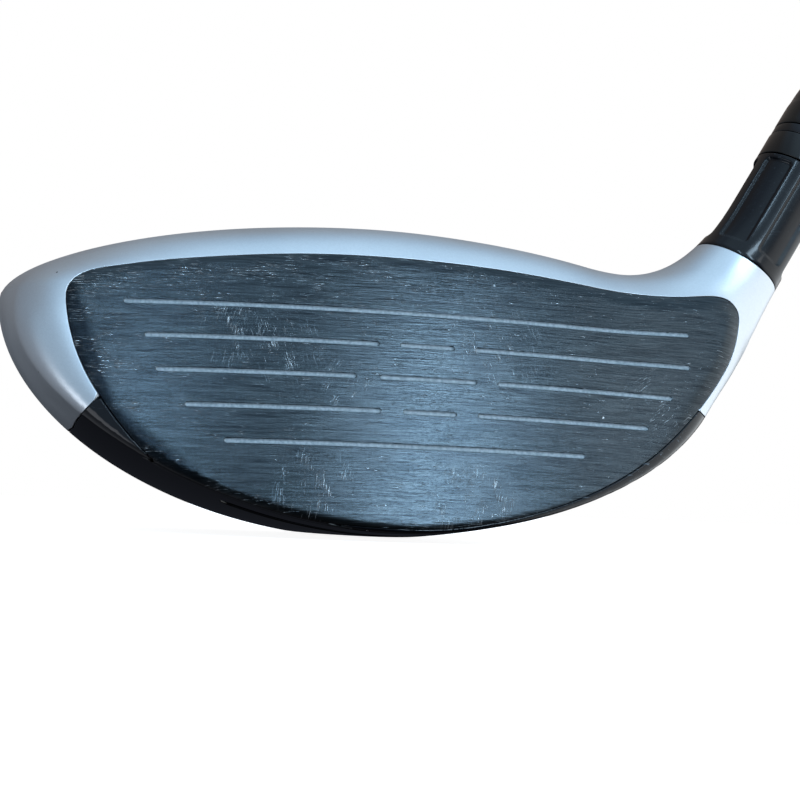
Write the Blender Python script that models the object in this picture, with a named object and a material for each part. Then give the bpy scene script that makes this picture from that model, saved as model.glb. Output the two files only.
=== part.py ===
"""Fairway wood: hollow multi-piece head, fluted bonded hosel, graphite shaft and rubber grip.

The club stands in its address position.  +X points to the heel, +Y away from the target face
(to the back of the head) and +Z up.  The origin is on the ground, on the small flat under the
sole, below the shaft's axis plane.  Lengths in this file are millimetres until a mesh is made.

The head's outer form is one smooth field, negative inside the metal.  Its surface is found on a
grid, and each skin piece is a region of that surface given a thickness, so neighbouring pieces
share one flowing form and meet at an even joint.
"""
import math

import bmesh
import bpy
import numpy as np
from mathutils import Vector
from mathutils.geometry import delaunay_2d_cdt

METRE = 0.001                      # one millimetre in metres
JOINT_GAP = 0.3                    # clearance between touching pieces
FACE_CLEARANCE = 0.25              # set-back of the plate from the middle of its joint
SHARP_ANGLE = math.radians(35.0)   # edges sharper than this stay crisp when shaded

# --- head form ---------------------------------------------------------------------------------
LOFT = math.radians(15.0)
FACE_CENTRE = np.array([0.0, -15.0, 19.5])
FACE_BULGE_RADIUS = 330.0          # heel to toe
FACE_ROLL_RADIUS = 280.0           # sole to crown
BODY_CENTRE_X = -3.4
BODY_CENTRE_Y = 16.0
TOE_REACH = 51.7
HEEL_REACH = 52.4
BACK_REACH = 49.0
FRONT_REACH_CROWN = 47.6
FRONT_REACH_SOLE = 135.0
CROWN_HEIGHT = 43.5
SOLE_DIP = 0.63                    # depth planed off the sole, which leaves the resting flat
SKIRT_HEIGHT = 31.0
SKIRT_BACK_DROP = 8.0
BODY_POWER = 1.85                  # 2 is an ellipsoid; a lower power is fuller at the poles
POLE_ROUNDING = 0.04               # share of the reach over which the poles are rounded

# --- shaft line and hosel ----------------------------------------------------------------------
LIE = math.radians(59.5)
AXIS_GROUND_X = 26.75              # where the shaft's axis meets the ground
AXIS = np.array([math.cos(LIE), 0.0, math.sin(LIE)])
AXIS_SIDE = np.array([math.sin(LIE), 0.0, -math.cos(LIE)])
AXIS_BACK = np.array([0.0, 1.0, 0.0])
HOSEL_RADIUS = 6.2
NECK_FILLET = 14.8                 # blend of neck into head on the toe side
NECK_FILLET_HEEL = 9.5
NECK_START = 33.6                  # distances along the shaft's axis from the ground
SLEEVE_START = 47.5
SLEEVE_END = 65.0
BORE_END = 30.0
BORE_RADIUS = 4.55
LINER_RADIUS = 4.85
SLEEVE_BORE_RADIUS = 5.15
FLUTE_COUNT = 6
FLUTE_HALF_ANGLE = math.radians(21.0)
FLUTE_FIRST_ANGLE = math.radians(-79.0)
FLUTE_DEPTH = 0.45
FLUTE_START = 49.6
FLUTE_END = 64.2

# --- shaft and grip ----------------------------------------------------------------------------
CLUB_LENGTH = 1098.5               # 43.25 inches from the ground to the end of the grip
SHAFT_TIP_RADIUS = 4.25
SHAFT_BUTT_RADIUS = 7.6
SHAFT_WALL_TIP = 1.9
SHAFT_WALL_BUTT = 0.95
SHAFT_TIP_START = 33.0
TIP_PARALLEL_END = 110.0
FERRULE_LENGTH = 25.0
GRIP_LENGTH = 267.0
GRIP_MOUTH_RADIUS = 9.3
GRIP_BUTT_RADIUS = 13.2
GRIP_CAP_THICKNESS = 4.0

# --- skin pieces -------------------------------------------------------------------------------
SURFACE_CELL = 5.6
RESTING_FLAT_BAND = 0.15           # points this close to the ground lie on the resting flat
BODY_WALL = 2.4
NECK_WALL = 1.0
CROWN_WALL = 1.0
SOLE_WALL = 1.2
FACE_WALL = 1.9
LEDGE = 4.5                        # width of the body's ledge under crown and sole
GROOVE_SPACING = 4.6
GROOVE_TOP = 10.6
GROOVE_WIDTH = 0.6
GROOVE_DEPTH = 0.35
PORT_CENTRE = (0.0, 46.0)
PORT_RADIUS = 8.6
SLOT_HALF_LENGTH = 24.0
SLOT_HALF_WIDTH = 1.7
SLOT_Y = -9.5

FACE_UP = np.array([0.0, math.sin(LOFT), math.cos(LOFT)])
FACE_OUT = np.array([0.0, -math.cos(LOFT), math.sin(LOFT)])

# Striking face outline in face coordinates: toe-to-heel and up from the face centre.
FACE_OUTLINE = [
    (-46.5, 10.5), (-45.9, 13.3), (-43.6, 15.0), (-39.7, 15.8), (-32.5, 16.9), (-17.0, 18.4),
    (-3.0, 18.7), (12.0, 18.2), (28.2, 16.9), (37.4, 16.8), (43.8, 17.4), (46.6, 16.4),
    (47.4, 13.9), (45.2, 7.7), (39.6, 0.4), (30.9, -7.6), (21.0, -13.3), (9.0, -17.2),
    (-3.0, -18.6), (-19.5, -17.2), (-29.4, -14.0), (-36.6, -9.0), (-42.2, -1.9), (-45.2, 4.3),
]
# Score lines: row number, then the two ends measured from the face centre.
SCORE_LINES = [
    (0, -39.3, 38.1),
    (1, -36.6, -6.6), (1, -3.6, 3.6), (1, 6.7, 38.1),
    (2, -35.1, -9.7), (2, -6.5, 6.5), (2, 9.6, 35.1),
    (3, -31.4, -6.6), (3, -3.5, 3.5), (3, 6.6, 31.0),
    (4, -26.5, 21.3),
]


# --- small number helpers ----------------------------------------------------------------------
def smooth_max(a, b, width):
    """Maximum of two fields with a rounded edge."""
    overlap = np.maximum(width - np.abs(a - b), 0.0) / width
    return np.maximum(a, b) + overlap * overlap * width * 0.25


def smooth_min(a, b, width):
    return -smooth_max(-a, -b, width)


def smooth_step(value, low, high):
    t = np.clip((value - low) / (high - low), 0.0, 1.0)
    return t * t * (3.0 - 2.0 * t)


# --- the head's field --------------------------------------------------------------------------
def shaft_coordinates(points):
    """Distance along the shaft's axis, and the two offsets across it."""
    offset = points - np.array([AXIS_GROUND_X, 0.0, 0.0])
    return offset @ AXIS, offset @ AXIS_SIDE, offset @ AXIS_BACK


def shaft_point(along, side, back):
    along = np.asarray(along, float)[..., None]
    side = np.asarray(side, float)[..., None]
    back = np.asarray(back, float)[..., None]
    start = np.array([AXIS_GROUND_X, 0.0, 0.0])
    return start + along * AXIS + side * AXIS_SIDE + back * AXIS_BACK


def face_coordinates(points):
    """Toe-to-heel, up, and forward offsets from the face centre."""
    offset = points - FACE_CENTRE
    return offset[:, 0], offset @ FACE_UP, offset @ FACE_OUT


def face_surface_offset(across, up):
    return -across ** 2 / (2 * FACE_BULGE_RADIUS) - up ** 2 / (2 * FACE_ROLL_RADIUS)


def face_field(points):
    across, up, forward = face_coordinates(points)
    return forward - face_surface_offset(across, up)


def skirt_height(y):
    behind = np.maximum(y - BODY_CENTRE_Y, 0.0) / BACK_REACH
    return SKIRT_HEIGHT - SKIRT_BACK_DROP * behind ** 2


def bowl_field(points):
    """Rounded body, near an ellipsoid, with a different reach in each direction."""
    x, y, z = points.T
    skirt = skirt_height(y)
    rise = z - skirt
    reach_x = np.where(x < BODY_CENTRE_X, TOE_REACH, HEEL_REACH)
    front = FRONT_REACH_SOLE + (FRONT_REACH_CROWN - FRONT_REACH_SOLE) * smooth_step(rise, -14.0, 6.0)
    reach_y = np.where(y < BODY_CENTRE_Y, front, BACK_REACH)
    reach_z = np.where(rise > 0, CROWN_HEIGHT - skirt, skirt + SOLE_DIP)
    reaches = np.stack([reach_x, reach_y, reach_z])
    shares = np.stack([x - BODY_CENTRE_X, y - BODY_CENTRE_Y, rise]) / reaches
    shares = np.sqrt(shares ** 2 + POLE_ROUNDING ** 2)
    size = np.sum(shares ** BODY_POWER, axis=0) ** (1.0 / BODY_POWER)
    slope = np.sqrt(np.sum((shares ** (BODY_POWER - 1.0) / reaches) ** 2, axis=0))
    return (size - 1.0) / (slope * size ** (1.0 - BODY_POWER))


def neck_field(points):
    along, side, back = shaft_coordinates(points)
    across = np.sqrt(side * side + back * back) - HOSEL_RADIUS
    return smooth_max(across, NECK_START - along, 8.0)


def heel_share(points):
    """Zero on the toe side of the shaft's axis, one on the heel side."""
    return smooth_step(shaft_coordinates(points)[1], -8.0, 6.0)


def head_field(points, softening=0.0):
    """Signed form of the whole head with its neck; softening widens every rounded edge."""
    edge = 1.3 + 4.4 * smooth_step(points[:, 2], 7.0, 24.0) + softening
    head = smooth_max(bowl_field(points), face_field(points), edge)
    fillet = NECK_FILLET + (NECK_FILLET_HEEL - NECK_FILLET) * heel_share(points) + softening
    whole = smooth_min(head, neck_field(points), fillet)
    return smooth_max(whole, -points[:, 2], 0.2 + softening)


def field_gradient(field, points, step=0.05):
    """Gradient by central differences."""
    columns = []
    for axis in range(3):
        shift = np.zeros(3)
        shift[axis] = step
        columns.append((field(points + shift) - field(points - shift)) / (2 * step))
    return np.stack(columns, axis=1)


def settle(points, rounds=6):
    """Move points onto the head's surface."""
    for _ in range(rounds):
        value = head_field(points)
        slope = field_gradient(head_field, points)
        points = points - slope * (value / (np.sum(slope * slope, axis=1) + 1e-9))[:, None]
    return points


def outward(points, softening=5.0):
    """Outward direction of the softened form, which turns slowly round tight edges."""
    slope = field_gradient(lambda p: head_field(p, softening), points)
    return slope / np.linalg.norm(slope, axis=1)[:, None]


# --- surface building --------------------------------------------------------------------------
def surface_net(low, high, cell):
    """Triangles of the head's surface: one vertex per grid cell that the surface crosses."""
    counts = np.ceil((np.array(high) - np.array(low)) / cell).astype(int) + 1
    axes = [low[i] + cell * np.arange(counts[i]) for i in range(3)]
    grid = np.stack(np.meshgrid(*axes, indexing="ij"), axis=-1)
    inside = (head_field(grid.reshape(-1, 3)) < 0).reshape(counts)
    corner_sum = np.zeros(counts - 1, int)
    for i in (0, 1):
        for j in (0, 1):
            for k in (0, 1):
                part = inside[i:counts[0] - 1 + i, j:counts[1] - 1 + j, k:counts[2] - 1 + k]
                corner_sum += part
    crossed = (corner_sum > 0) & (corner_sum < 8)
    index = -np.ones(counts - 1, int)
    index[crossed] = np.arange(crossed.sum())
    points = grid[:-1, :-1, :-1][crossed] + cell / 2
    quads = []
    for axis in range(3):
        other = [a for a in range(3) if a != axis]
        first = np.moveaxis(inside, axis, 0)
        change = first[:-1] != first[1:]
        leaves = first[:-1] & ~first[1:]
        cells = np.moveaxis(index, axis, 0)
        a, b, c = np.nonzero(change)
        edge_free = (b > 0) & (c > 0) & (b < cells.shape[1]) & (c < cells.shape[2])
        a, b, c = a[edge_free], b[edge_free], c[edge_free]
        ring = np.stack([cells[a, b - 1, c - 1], cells[a, b, c - 1], cells[a, b, c],
                         cells[a, b - 1, c]], axis=1)
        flip = ~leaves[a, b, c]
        if other == [0, 2]:
            flip = ~flip
        ring[flip] = ring[flip][:, ::-1]
        quads.append(ring)
    quads = np.concatenate(quads)
    triangles = np.concatenate([quads[:, [0, 1, 2]], quads[:, [0, 2, 3]]])
    return points, triangles


def relax(points, triangles, rounds=4):
    """Even out the triangles along the surface."""
    edges = np.concatenate([triangles[:, [0, 1]], triangles[:, [1, 2]], triangles[:, [2, 0]]])
    for _ in range(rounds):
        total = np.zeros_like(points)
        count = np.zeros(len(points))
        np.add.at(total, edges[:, 0], points[edges[:, 1]])
        np.add.at(count, edges[:, 0], 1)
        points = settle(0.5 * points + 0.5 * total / count[:, None], rounds=2)
    return points


def refine(points, triangles, edge_limit):
    """Halve each edge that is longer than edge_limit(middle) allows, keeping the surface whole."""
    pairs = np.sort(np.concatenate([triangles[:, [0, 1]], triangles[:, [1, 2]],
                                    triangles[:, [2, 0]]]), axis=1)
    edges, place = np.unique(pairs, axis=0, return_inverse=True)
    place = place.reshape(3, -1).T
    middle = points[edges].mean(axis=1)
    length = np.linalg.norm(points[edges[:, 0]] - points[edges[:, 1]], axis=1)
    cut = length > edge_limit(middle)
    number = -np.ones(len(edges), int)
    number[cut] = len(points) + np.arange(cut.sum())
    mids = number[place]
    result = [triangles[(mids >= 0).sum(axis=1) == 0]]
    for turn in range(3):
        a, b, c = (triangles[:, (turn + k) % 3] for k in range(3))
        ab, bc, ca = (mids[:, (turn + k) % 3] for k in range(3))
        one = (ab >= 0) & (bc < 0) & (ca < 0)
        two = (ab >= 0) & (bc >= 0) & (ca < 0)
        result.append(np.stack([a, ab, c], axis=1)[one])
        result.append(np.stack([ab, b, c], axis=1)[one])
        result.append(np.stack([ab, b, bc], axis=1)[two])
        result.append(np.stack([a, ab, bc], axis=1)[two])
        result.append(np.stack([a, bc, c], axis=1)[two])
        if turn == 0:
            three = (ab >= 0) & (bc >= 0) & (ca >= 0)
            for corners in ((a, ab, ca), (ab, b, bc), (ca, bc, c), (ab, bc, ca)):
                result.append(np.stack(corners, axis=1)[three])
    return np.concatenate([points, settle(middle[cut])]), np.concatenate(result)


def score(points, triangles, level):
    """Split the triangles along level = 0; level holds one number per point.

    Also gives each new triangle's side of the line and the triangle it came from."""
    level = np.where(np.abs(level) < 1e-6, 1e-6, level)
    new_points = []
    cut_index = {}

    def cut(a, b):
        key = (a, b) if a < b else (b, a)
        if key not in cut_index:
            first, second = key
            share = level[first] / (level[first] - level[second])
            share = min(max(share, 0.03), 0.97)
            cut_index[key] = len(points) + len(new_points)
            new_points.append(points[first] + share * (points[second] - points[first]))
        return cut_index[key]

    negative = level[triangles] < 0
    count = negative.sum(axis=1)
    whole = (count == 0) | (count == 3)
    result = [triangles[whole]]
    side = [np.where(count[whole] == 3, -1, 1)]
    parent = [np.nonzero(whole)[0]]
    pieces = []
    piece_side = []
    piece_parent = []
    for number in np.nonzero(~whole)[0]:
        corners = triangles[number]
        below = negative[number]
        lone_is_below = below.sum() == 1
        lone = int(np.argmax(below == lone_is_below))
        a, b, c = (int(corners[(lone + i) % 3]) for i in range(3))
        ab = cut(a, b)
        ac = cut(a, c)
        pieces += [(a, ab, ac), (ab, b, c), (ab, c, ac)]
        sign = -1 if lone_is_below else 1
        piece_side += [sign, -sign, -sign]
        piece_parent += [number] * 3
    if pieces:
        result.append(np.array(pieces))
        side.append(np.array(piece_side))
        parent.append(np.array(piece_parent))
        points = np.concatenate([points, np.array(new_points)])
    return points, np.concatenate(result), np.concatenate(side), np.concatenate(parent)


def trim(surface, region, offset=0.0, keep=-1):
    """Keep one side of the line where a region's stored number equals the offset."""
    rows, triangles = surface
    rows, triangles, side, _ = score(rows, triangles, rows[:, COLUMNS[region]] - offset)
    return drop_loose(rows, triangles[side == keep])


def drop_loose(points, triangles):
    used = np.unique(triangles)
    renumber = -np.ones(len(points), int)
    renumber[used] = np.arange(len(used))
    return points[used], renumber[triangles]


def terrace(rows, triangles, top_depth, bottom_depth):
    """Closed solid from a surface: each triangle's top at its own depth, one common underside."""
    points = rows[:, :3]
    directions = rows[:, 3:6]
    top_depth = np.broadcast_to(top_depth, len(triangles))
    bottom_depth = np.broadcast_to(bottom_depth, len(points))
    solid_points = [points - directions * bottom_depth[:, None]]
    total = len(points)
    faces = [triangles[:, ::-1]]
    top_corner = {}
    levels = np.unique(top_depth)
    for number, depth in enumerate(levels):
        own = triangles[top_depth == depth]
        used = np.unique(own)
        renumber = -np.ones(len(points), int)
        renumber[used] = total + np.arange(len(used))
        solid_points.append(points[used] - directions[used] * depth)
        faces.append(renumber[own])
        top_corner[number] = renumber
        total += len(used)
    owner = {}
    level_of = np.searchsorted(levels, top_depth)
    for triangle, level in zip(triangles, level_of):
        for i in range(3):
            owner[(int(triangle[i]), int(triangle[(i + 1) % 3]))] = int(level)

    def copies(corner, upper, lower):
        """The corner's copies strictly between two depth levels, upper one first."""
        between = [top_corner[k][corner] for k in range(upper + 1, lower)]
        return [copy for copy in between if copy >= 0]

    walls = []
    for (a, b), level in owner.items():
        across = owner.get((b, a))
        top = top_corner[level]
        if across is None:
            down = copies(a, level, len(levels))
            back_up = copies(b, level, len(levels))[::-1]
            walls.append([top[b], top[a], *down, a, b, *back_up])
        elif across > level:
            low = top_corner[across]
            down = copies(a, level, across)
            back_up = copies(b, level, across)[::-1]
            walls.append([top[b], top[a], *down, low[a], low[b], *back_up])
    flat_faces = [list(face) for block in faces for face in block]
    return np.concatenate(solid_points), flat_faces + walls


# --- Blender objects ---------------------------------------------------------------------------
def clear_scene():
    for item in list(bpy.data.objects):
        bpy.data.objects.remove(item, do_unlink=True)


def make_material(name, colour, roughness, metallic):
    material = bpy.data.materials.new(name)
    material.use_nodes = True
    shader = material.node_tree.nodes["Principled BSDF"]
    shader.inputs["Base Color"].default_value = (*colour, 1.0)
    shader.inputs["Roughness"].default_value = roughness
    shader.inputs["Metallic"].default_value = metallic
    material.diffuse_color = (*colour, 1.0)
    return material


def add_object(name, points, faces, material, origin=(0.0, 0.0, 0.0)):
    """Closed mesh object from millimetre points, with its own origin where given."""
    mesh = bpy.data.meshes.new(name)
    local = (np.asarray(points) - np.asarray(origin)) * METRE
    mesh.from_pydata(local.tolist(), [], [list(map(int, f)) for f in faces])
    mesh.validate()
    form = bmesh.new()
    form.from_mesh(mesh)
    bmesh.ops.remove_doubles(form, verts=form.verts, dist=2e-7)
    bmesh.ops.recalc_face_normals(form, faces=form.faces)
    form.to_mesh(mesh)
    form.free()
    mesh.materials.append(material)
    mesh.shade_smooth()
    mesh.set_sharp_from_angle(angle=SHARP_ANGLE)
    item = bpy.data.objects.new(name, mesh)
    item.location = np.asarray(origin) * METRE
    bpy.context.scene.collection.objects.link(item)
    return item


def turned(profile, segments, placement, radius_rule=None):
    """Solid of revolution from an open or ring profile of (along, radius) pairs, outer side first.

    placement maps (along, side, back) to a point.  A radius of zero closes on the axis."""
    points = []
    rings = []
    for along, radius in profile:
        if radius < 1e-6:
            rings.append([len(points)])
            points.append(placement(along, 0.0, 0.0))
            continue
        ring = []
        for i in range(segments):
            angle = 2 * math.pi * i / segments
            size = radius if radius_rule is None else radius_rule(along, angle, radius)
            ring.append(len(points))
            points.append(placement(along, size * math.cos(angle), size * math.sin(angle)))
        rings.append(ring)
    faces = []
    on_axis = len(rings[0]) == 1 and len(rings[-1]) == 1
    pairs = list(zip(rings, rings[1:])) if on_axis else list(zip(rings, rings[1:] + rings[:1]))
    for low, high in pairs:
        for i in range(segments):
            j = (i + 1) % segments
            corners = [low[i % len(low)], low[j % len(low)], high[j % len(high)], high[i % len(high)]]
            corners = list(dict.fromkeys(corners))
            if len(corners) > 2:
                faces.append(corners)
    return np.array(points), faces


# --- regions of the head's surface -------------------------------------------------------------
def closed_curve(corners, steps):
    """Smooth closed curve through the corners."""
    corners = np.array(corners, float)
    count = len(corners)
    curve = []
    for i in range(count):
        p0, p1, p2, p3 = (corners[(i + k) % count] for k in (-1, 0, 1, 2))
        for s in range(steps):
            t = s / steps
            curve.append(0.5 * (2 * p1 + (p2 - p0) * t + (2 * p0 - 5 * p1 + 4 * p2 - p3) * t * t
                                + (3 * p1 - p0 - 3 * p2 + p3) * t ** 3))
    return np.array(curve)


def outline_distance(points, outline):
    """Signed distance to a closed outline in its own plane, negative inside."""
    start = outline
    end = np.roll(outline, -1, axis=0)
    nearest = np.full(len(points), 1e9)
    inside = np.zeros(len(points), bool)
    for (ax, ay), (bx, by) in zip(start, end):
        dx, dy = bx - ax, by - ay
        t = np.clip(((points[:, 0] - ax) * dx + (points[:, 1] - ay) * dy) / (dx * dx + dy * dy), 0, 1)
        gap = np.hypot(points[:, 0] - ax - t * dx, points[:, 1] - ay - t * dy)
        nearest = np.minimum(nearest, gap)
        crosses = (ay > points[:, 1]) != (by > points[:, 1])
        safe = np.where(crosses, dy, 1.0)
        inside ^= crosses & (points[:, 0] < ax + (points[:, 1] - ay) * dx / safe)
    return np.where(inside, -nearest, nearest)


FACE_CURVE = closed_curve(FACE_OUTLINE, 3)


def face_region(points):
    """Negative on the striking face."""
    across, up, _ = face_coordinates(points)
    flat = np.stack([across, up], axis=1)
    return np.maximum(outline_distance(flat, FACE_CURVE), -face_field(points) - 2.6)


def crown_region(points):
    """Negative on the composite crown, behind the painted front strip."""
    x, y, z = points.T
    reach_x = np.where(x < BODY_CENTRE_X, TOE_REACH, HEEL_REACH) - 4.5
    oval = np.hypot((x - BODY_CENTRE_X) / reach_x, (y - BODY_CENTRE_Y) / (BACK_REACH - 4.5)) - 1.0
    front = 3.0 + x * x / 700.0 - y
    along, side, back = shaft_coordinates(points)
    neck = 15.0 - np.hypot(side, back)
    rule = smooth_max(smooth_max(oval * 44.0, front, 8.0), neck, 8.0)
    return np.maximum(rule, 22.0 - z)


def sole_line_height(points):
    """Height of the line where the gloss sole meets the painted frame."""
    x, y, _ = points.T
    heel_rise = 0.18 * np.maximum(-2.0 - y, 0.0) + 0.45 * np.maximum(-11.0 - y, 0.0) ** 2
    corner = np.clip(1.1 * (x + 43.95), 0.0, 2.2) * smooth_step(-y, 9.0, 11.0)
    toe_rise = 0.0555 * np.maximum(7.0 - y, 0.0) + corner
    return 15.1 + 0.042 * x + np.where(x < 0.0, toe_rise, heel_rise)


def sole_region(points):
    """Negative on the sole plate, which wraps up to the face's lower edge."""
    return np.maximum(points[:, 2] - sole_line_height(points), -face_region(points))


def slot_region(points):
    """Negative on the long slot that runs across the sole behind the leading edge."""
    x, y, z = points.T
    line_y = SLOT_Y + x * x / (2 * FACE_BULGE_RADIUS)
    past_end = np.maximum(np.abs(x) - SLOT_HALF_LENGTH, 0.0)
    return np.maximum(np.hypot(past_end, y - line_y) - SLOT_HALF_WIDTH, z - 12.0)


def port_region(points):
    x, y, z = points.T
    return np.maximum(np.hypot(x - PORT_CENTRE[0], y - PORT_CENTRE[1]) - PORT_RADIUS, z - 16.0)


def neck_weight(points):
    """One in the neck, zero in the head."""
    along, side, back = shaft_coordinates(points)
    near = 1.0 - smooth_step(np.hypot(side, back), 9.0, 14.0)
    return near * smooth_step(along, 20.0, 30.0)


# --- head pieces -------------------------------------------------------------------------------
# A surface row holds a point's place, its outward direction and one number for each region.
COLUMNS = {"face": 6, "crown": 7, "sole": 8, "slot": 9, "port": 10, "sleeve": 11, "patch": 12}


def head_surface():
    """The whole outer surface of head and neck, with every region's number at every point."""
    points, triangles = surface_net((-62.0, -26.0, -2.6), (66.0, 70.0, 58.0), SURFACE_CELL)
    points = relax(settle(points), triangles)
    for _ in range(2):
        points, triangles = refine(points, triangles, allowed_edge)
    points[np.abs(points[:, 2]) < RESTING_FLAT_BAND, 2] = 0.0
    slot_line = points[:, 1] - SLOT_Y - points[:, 0] ** 2 / (2 * FACE_BULGE_RADIUS)
    points, triangles, _, _ = score(points, triangles, slot_line)
    along = shaft_coordinates(points)[0]
    regions = [face_region(points), crown_region(points), sole_region(points),
               slot_region(points), port_region(points), along - SLEEVE_START, np.zeros(len(points))]
    return np.hstack([points, outward(points), np.stack(regions, axis=1)]), triangles


def allowed_edge(points):
    """Longest edge allowed: short round the neck and the corners of the face opening."""
    along, side, back = shaft_coordinates(points)
    in_neck = (np.hypot(side, back) < 9.5) & (along > 30.0)
    across, up, _ = face_coordinates(points)
    near_rim = np.abs(face_region(points)) < 1.5
    at_corner = near_rim & (np.abs(across) > 34.0) & (up > 5.0)
    at_port = np.abs(port_region(points)) < 2.5
    return np.where(in_neck | at_port, 3.6, np.where(at_corner, 2.6, 99.0))


def build_skin(base, materials):
    """Head body, crown, sole, slot insert and the pads bonded inside."""
    half = JOINT_GAP / 2
    below_sleeve = trim(base, "sleeve", -half)

    # Body: the painted frame between face, crown and sole, with ledges under the last two.
    frame = trim(below_sleeve, "face", half, keep=1)
    frame = trim(frame, "crown", -LEDGE, keep=1)
    frame = trim(frame, "sole", -LEDGE, keep=1)
    rows, tris, crown_side, _ = score(*frame, frame[0][:, COLUMNS["crown"]] - half)
    rows, tris, sole_side, parent = score(rows, tris, rows[:, COLUMNS["sole"]] - half)
    depth = np.zeros(len(tris))
    depth[crown_side[parent] < 0] = CROWN_WALL + JOINT_GAP
    depth[sole_side < 0] = SOLE_WALL + JOINT_GAP
    body_wall = BODY_WALL - (BODY_WALL - NECK_WALL) * neck_weight(rows[:, :3])
    add_object("head_body", *terrace(rows, tris, depth, body_wall), materials["silver_paint"])

    crown = trim(below_sleeve, "crown", -half)
    add_object("crown_panel", *terrace(*crown, 0.0, CROWN_WALL), materials["carbon"])

    sole = trim(below_sleeve, "sole", -half)
    insert = trim(sole, "slot", -half)
    add_object("slot_insert", *terrace(*insert, 0.35, SOLE_WALL + 1.4), materials["slot_rubber"])
    plate = trim(trim(sole, "slot", half, keep=1), "port", half, keep=1)
    add_object("sole_plate", *terrace(*plate, 0.0, SOLE_WALL), materials["gloss_black"])


def build_pads(base, materials):
    """Pieces bonded to the inside of the sole: a weight pad, a glue pad and two ribs."""
    pads = (
        ("rear_weight_pad", (0.0, 29.0), (17.0, 6.0), 4.2, "weight_steel"),
        ("toe_hot_melt", (-27.0, 12.0), (8.0, 7.0), 2.0, "hot_melt"),
        ("toe_sound_rib", (-15.0, 9.0), (0.9, 12.0), 6.0, "raw_steel"),
        ("heel_sound_rib", (15.0, 9.0), (0.9, 12.0), 6.0, "raw_steel"),
    )
    top = SOLE_WALL + JOINT_GAP
    for name, centre, half_size, thickness, slot in pads:
        rows, tris = trim(base, "sole", 0.0)
        rows, tris, _, _ = score(rows, tris, rows[:, 0] - centre[0])
        rows[:, COLUMNS["patch"]] = rounded_patch(rows, centre, half_size)
        patch = trim((rows, tris), "patch")
        add_object(name, *terrace(*patch, top, top + thickness), materials[slot])


def rounded_patch(points, centre, half_size):
    """Rectangle on the sole seen from below, negative inside."""
    x, y = points[:, 0], points[:, 1]
    return smooth_max(np.abs(x - centre[0]) - half_size[0], np.abs(y - centre[1]) - half_size[1], 0.6)


def rim_loop(triangles):
    """The surface's rim as one loop of point numbers."""
    owner = {}
    for triangle in triangles:
        for i in range(3):
            owner[(int(triangle[i]), int(triangle[(i + 1) % 3]))] = True
    following = {a: b for a, b in owner if (b, a) not in owner}
    loop = [next(iter(following))]
    while following[loop[-1]] != loop[0]:
        loop.append(following[loop[-1]])
    return loop


def groove_boxes():
    """Each score line as its left and right ends and its lower and upper edges."""
    boxes = []
    for row, left, right in SCORE_LINES:
        up = GROOVE_TOP - row * GROOVE_SPACING
        boxes.append((left, right, up - GROOVE_WIDTH / 2, up + GROOVE_WIDTH / 2))
    return boxes


def build_face(base, materials):
    """Striking plate with its score lines, whose rim follows the opening in the body."""
    skin = trim(base, "face", -FACE_CLEARANCE)
    rim = skin[0][rim_loop(skin[1])]
    across, up, _ = face_coordinates(rim[:, :3])
    outline = np.stack([across, up], axis=1)
    flat = [tuple(p) for p in outline]
    count = len(flat)
    edges = [(i, (i + 1) % count) for i in range(count)]
    grooves = groove_boxes()
    for left, right, low, high in grooves:
        steps = max(1, int((right - left) / 7.0))
        ring = [(left + (right - left) * i / steps, low) for i in range(steps + 1)]
        ring += [(right - (right - left) * i / steps, high) for i in range(steps + 1)]
        first = len(flat)
        flat += ring
        edges += [(first + i, first + (i + 1) % len(ring)) for i in range(len(ring))]
    spacing = 6.0
    for i in range(-8, 9):
        for j in range(-3, 4):
            spot = np.array([[i * spacing + 0.5 * spacing * (j % 2), j * spacing + 1.5]])
            clear_of_grooves = all(
                not (g[0] - 1 < spot[0, 0] < g[1] + 1 and g[2] - 1 < spot[0, 1] < g[3] + 1)
                for g in grooves)
            if outline_distance(spot, outline)[0] < -2.5 and clear_of_grooves:
                flat.append(tuple(spot[0]))
    mesh_points, _, mesh_faces, origin, _, _ = delaunay_2d_cdt(
        [Vector(p) for p in flat], edges, [], 1, 1e-5)
    flat = np.array([tuple(p) for p in mesh_points])
    tris = np.array([f for f in mesh_faces])
    middle = flat[tris].mean(axis=1)
    depth = np.zeros(len(tris))
    for left, right, low, high in grooves:
        held = (middle[:, 0] > left) & (middle[:, 0] < right)
        held &= (middle[:, 1] > low) & (middle[:, 1] < high)
        depth[held] = GROOVE_DEPTH
    points = settle(face_point(flat[:, 0], flat[:, 1]))
    points = np.hstack([points, outward(points)])
    for number, sources in enumerate(origin):
        for source in sources:
            if source < count:
                points[number] = rim[source, :6]
    corner = points[:, :3][tris]
    area = np.cross(corner[:, 1] - corner[:, 0], corner[:, 2] - corner[:, 0])
    backward = area @ FACE_OUT < 0
    tris[backward] = tris[backward][:, ::-1]
    add_object("face_plate", *terrace(points, tris, depth, FACE_WALL), materials["face_steel"])


def face_point(across, up):
    forward = face_surface_offset(across, up)
    side = np.array([1.0, 0.0, 0.0])
    return (FACE_CENTRE + across[:, None] * side + up[:, None] * FACE_UP
            + forward[:, None] * FACE_OUT)


# --- hosel, shaft and grip ---------------------------------------------------------------------
def sleeve_radius(along, angle):
    """Radius of the head's own form around the neck, found by stepping out from the axis."""
    radius = np.full(1, HOSEL_RADIUS)
    for _ in range(20):
        spot = shaft_point(along, radius * math.cos(angle), radius * math.sin(angle))
        radius = radius - head_field(spot) * 0.9
    return float(radius[0])


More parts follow.
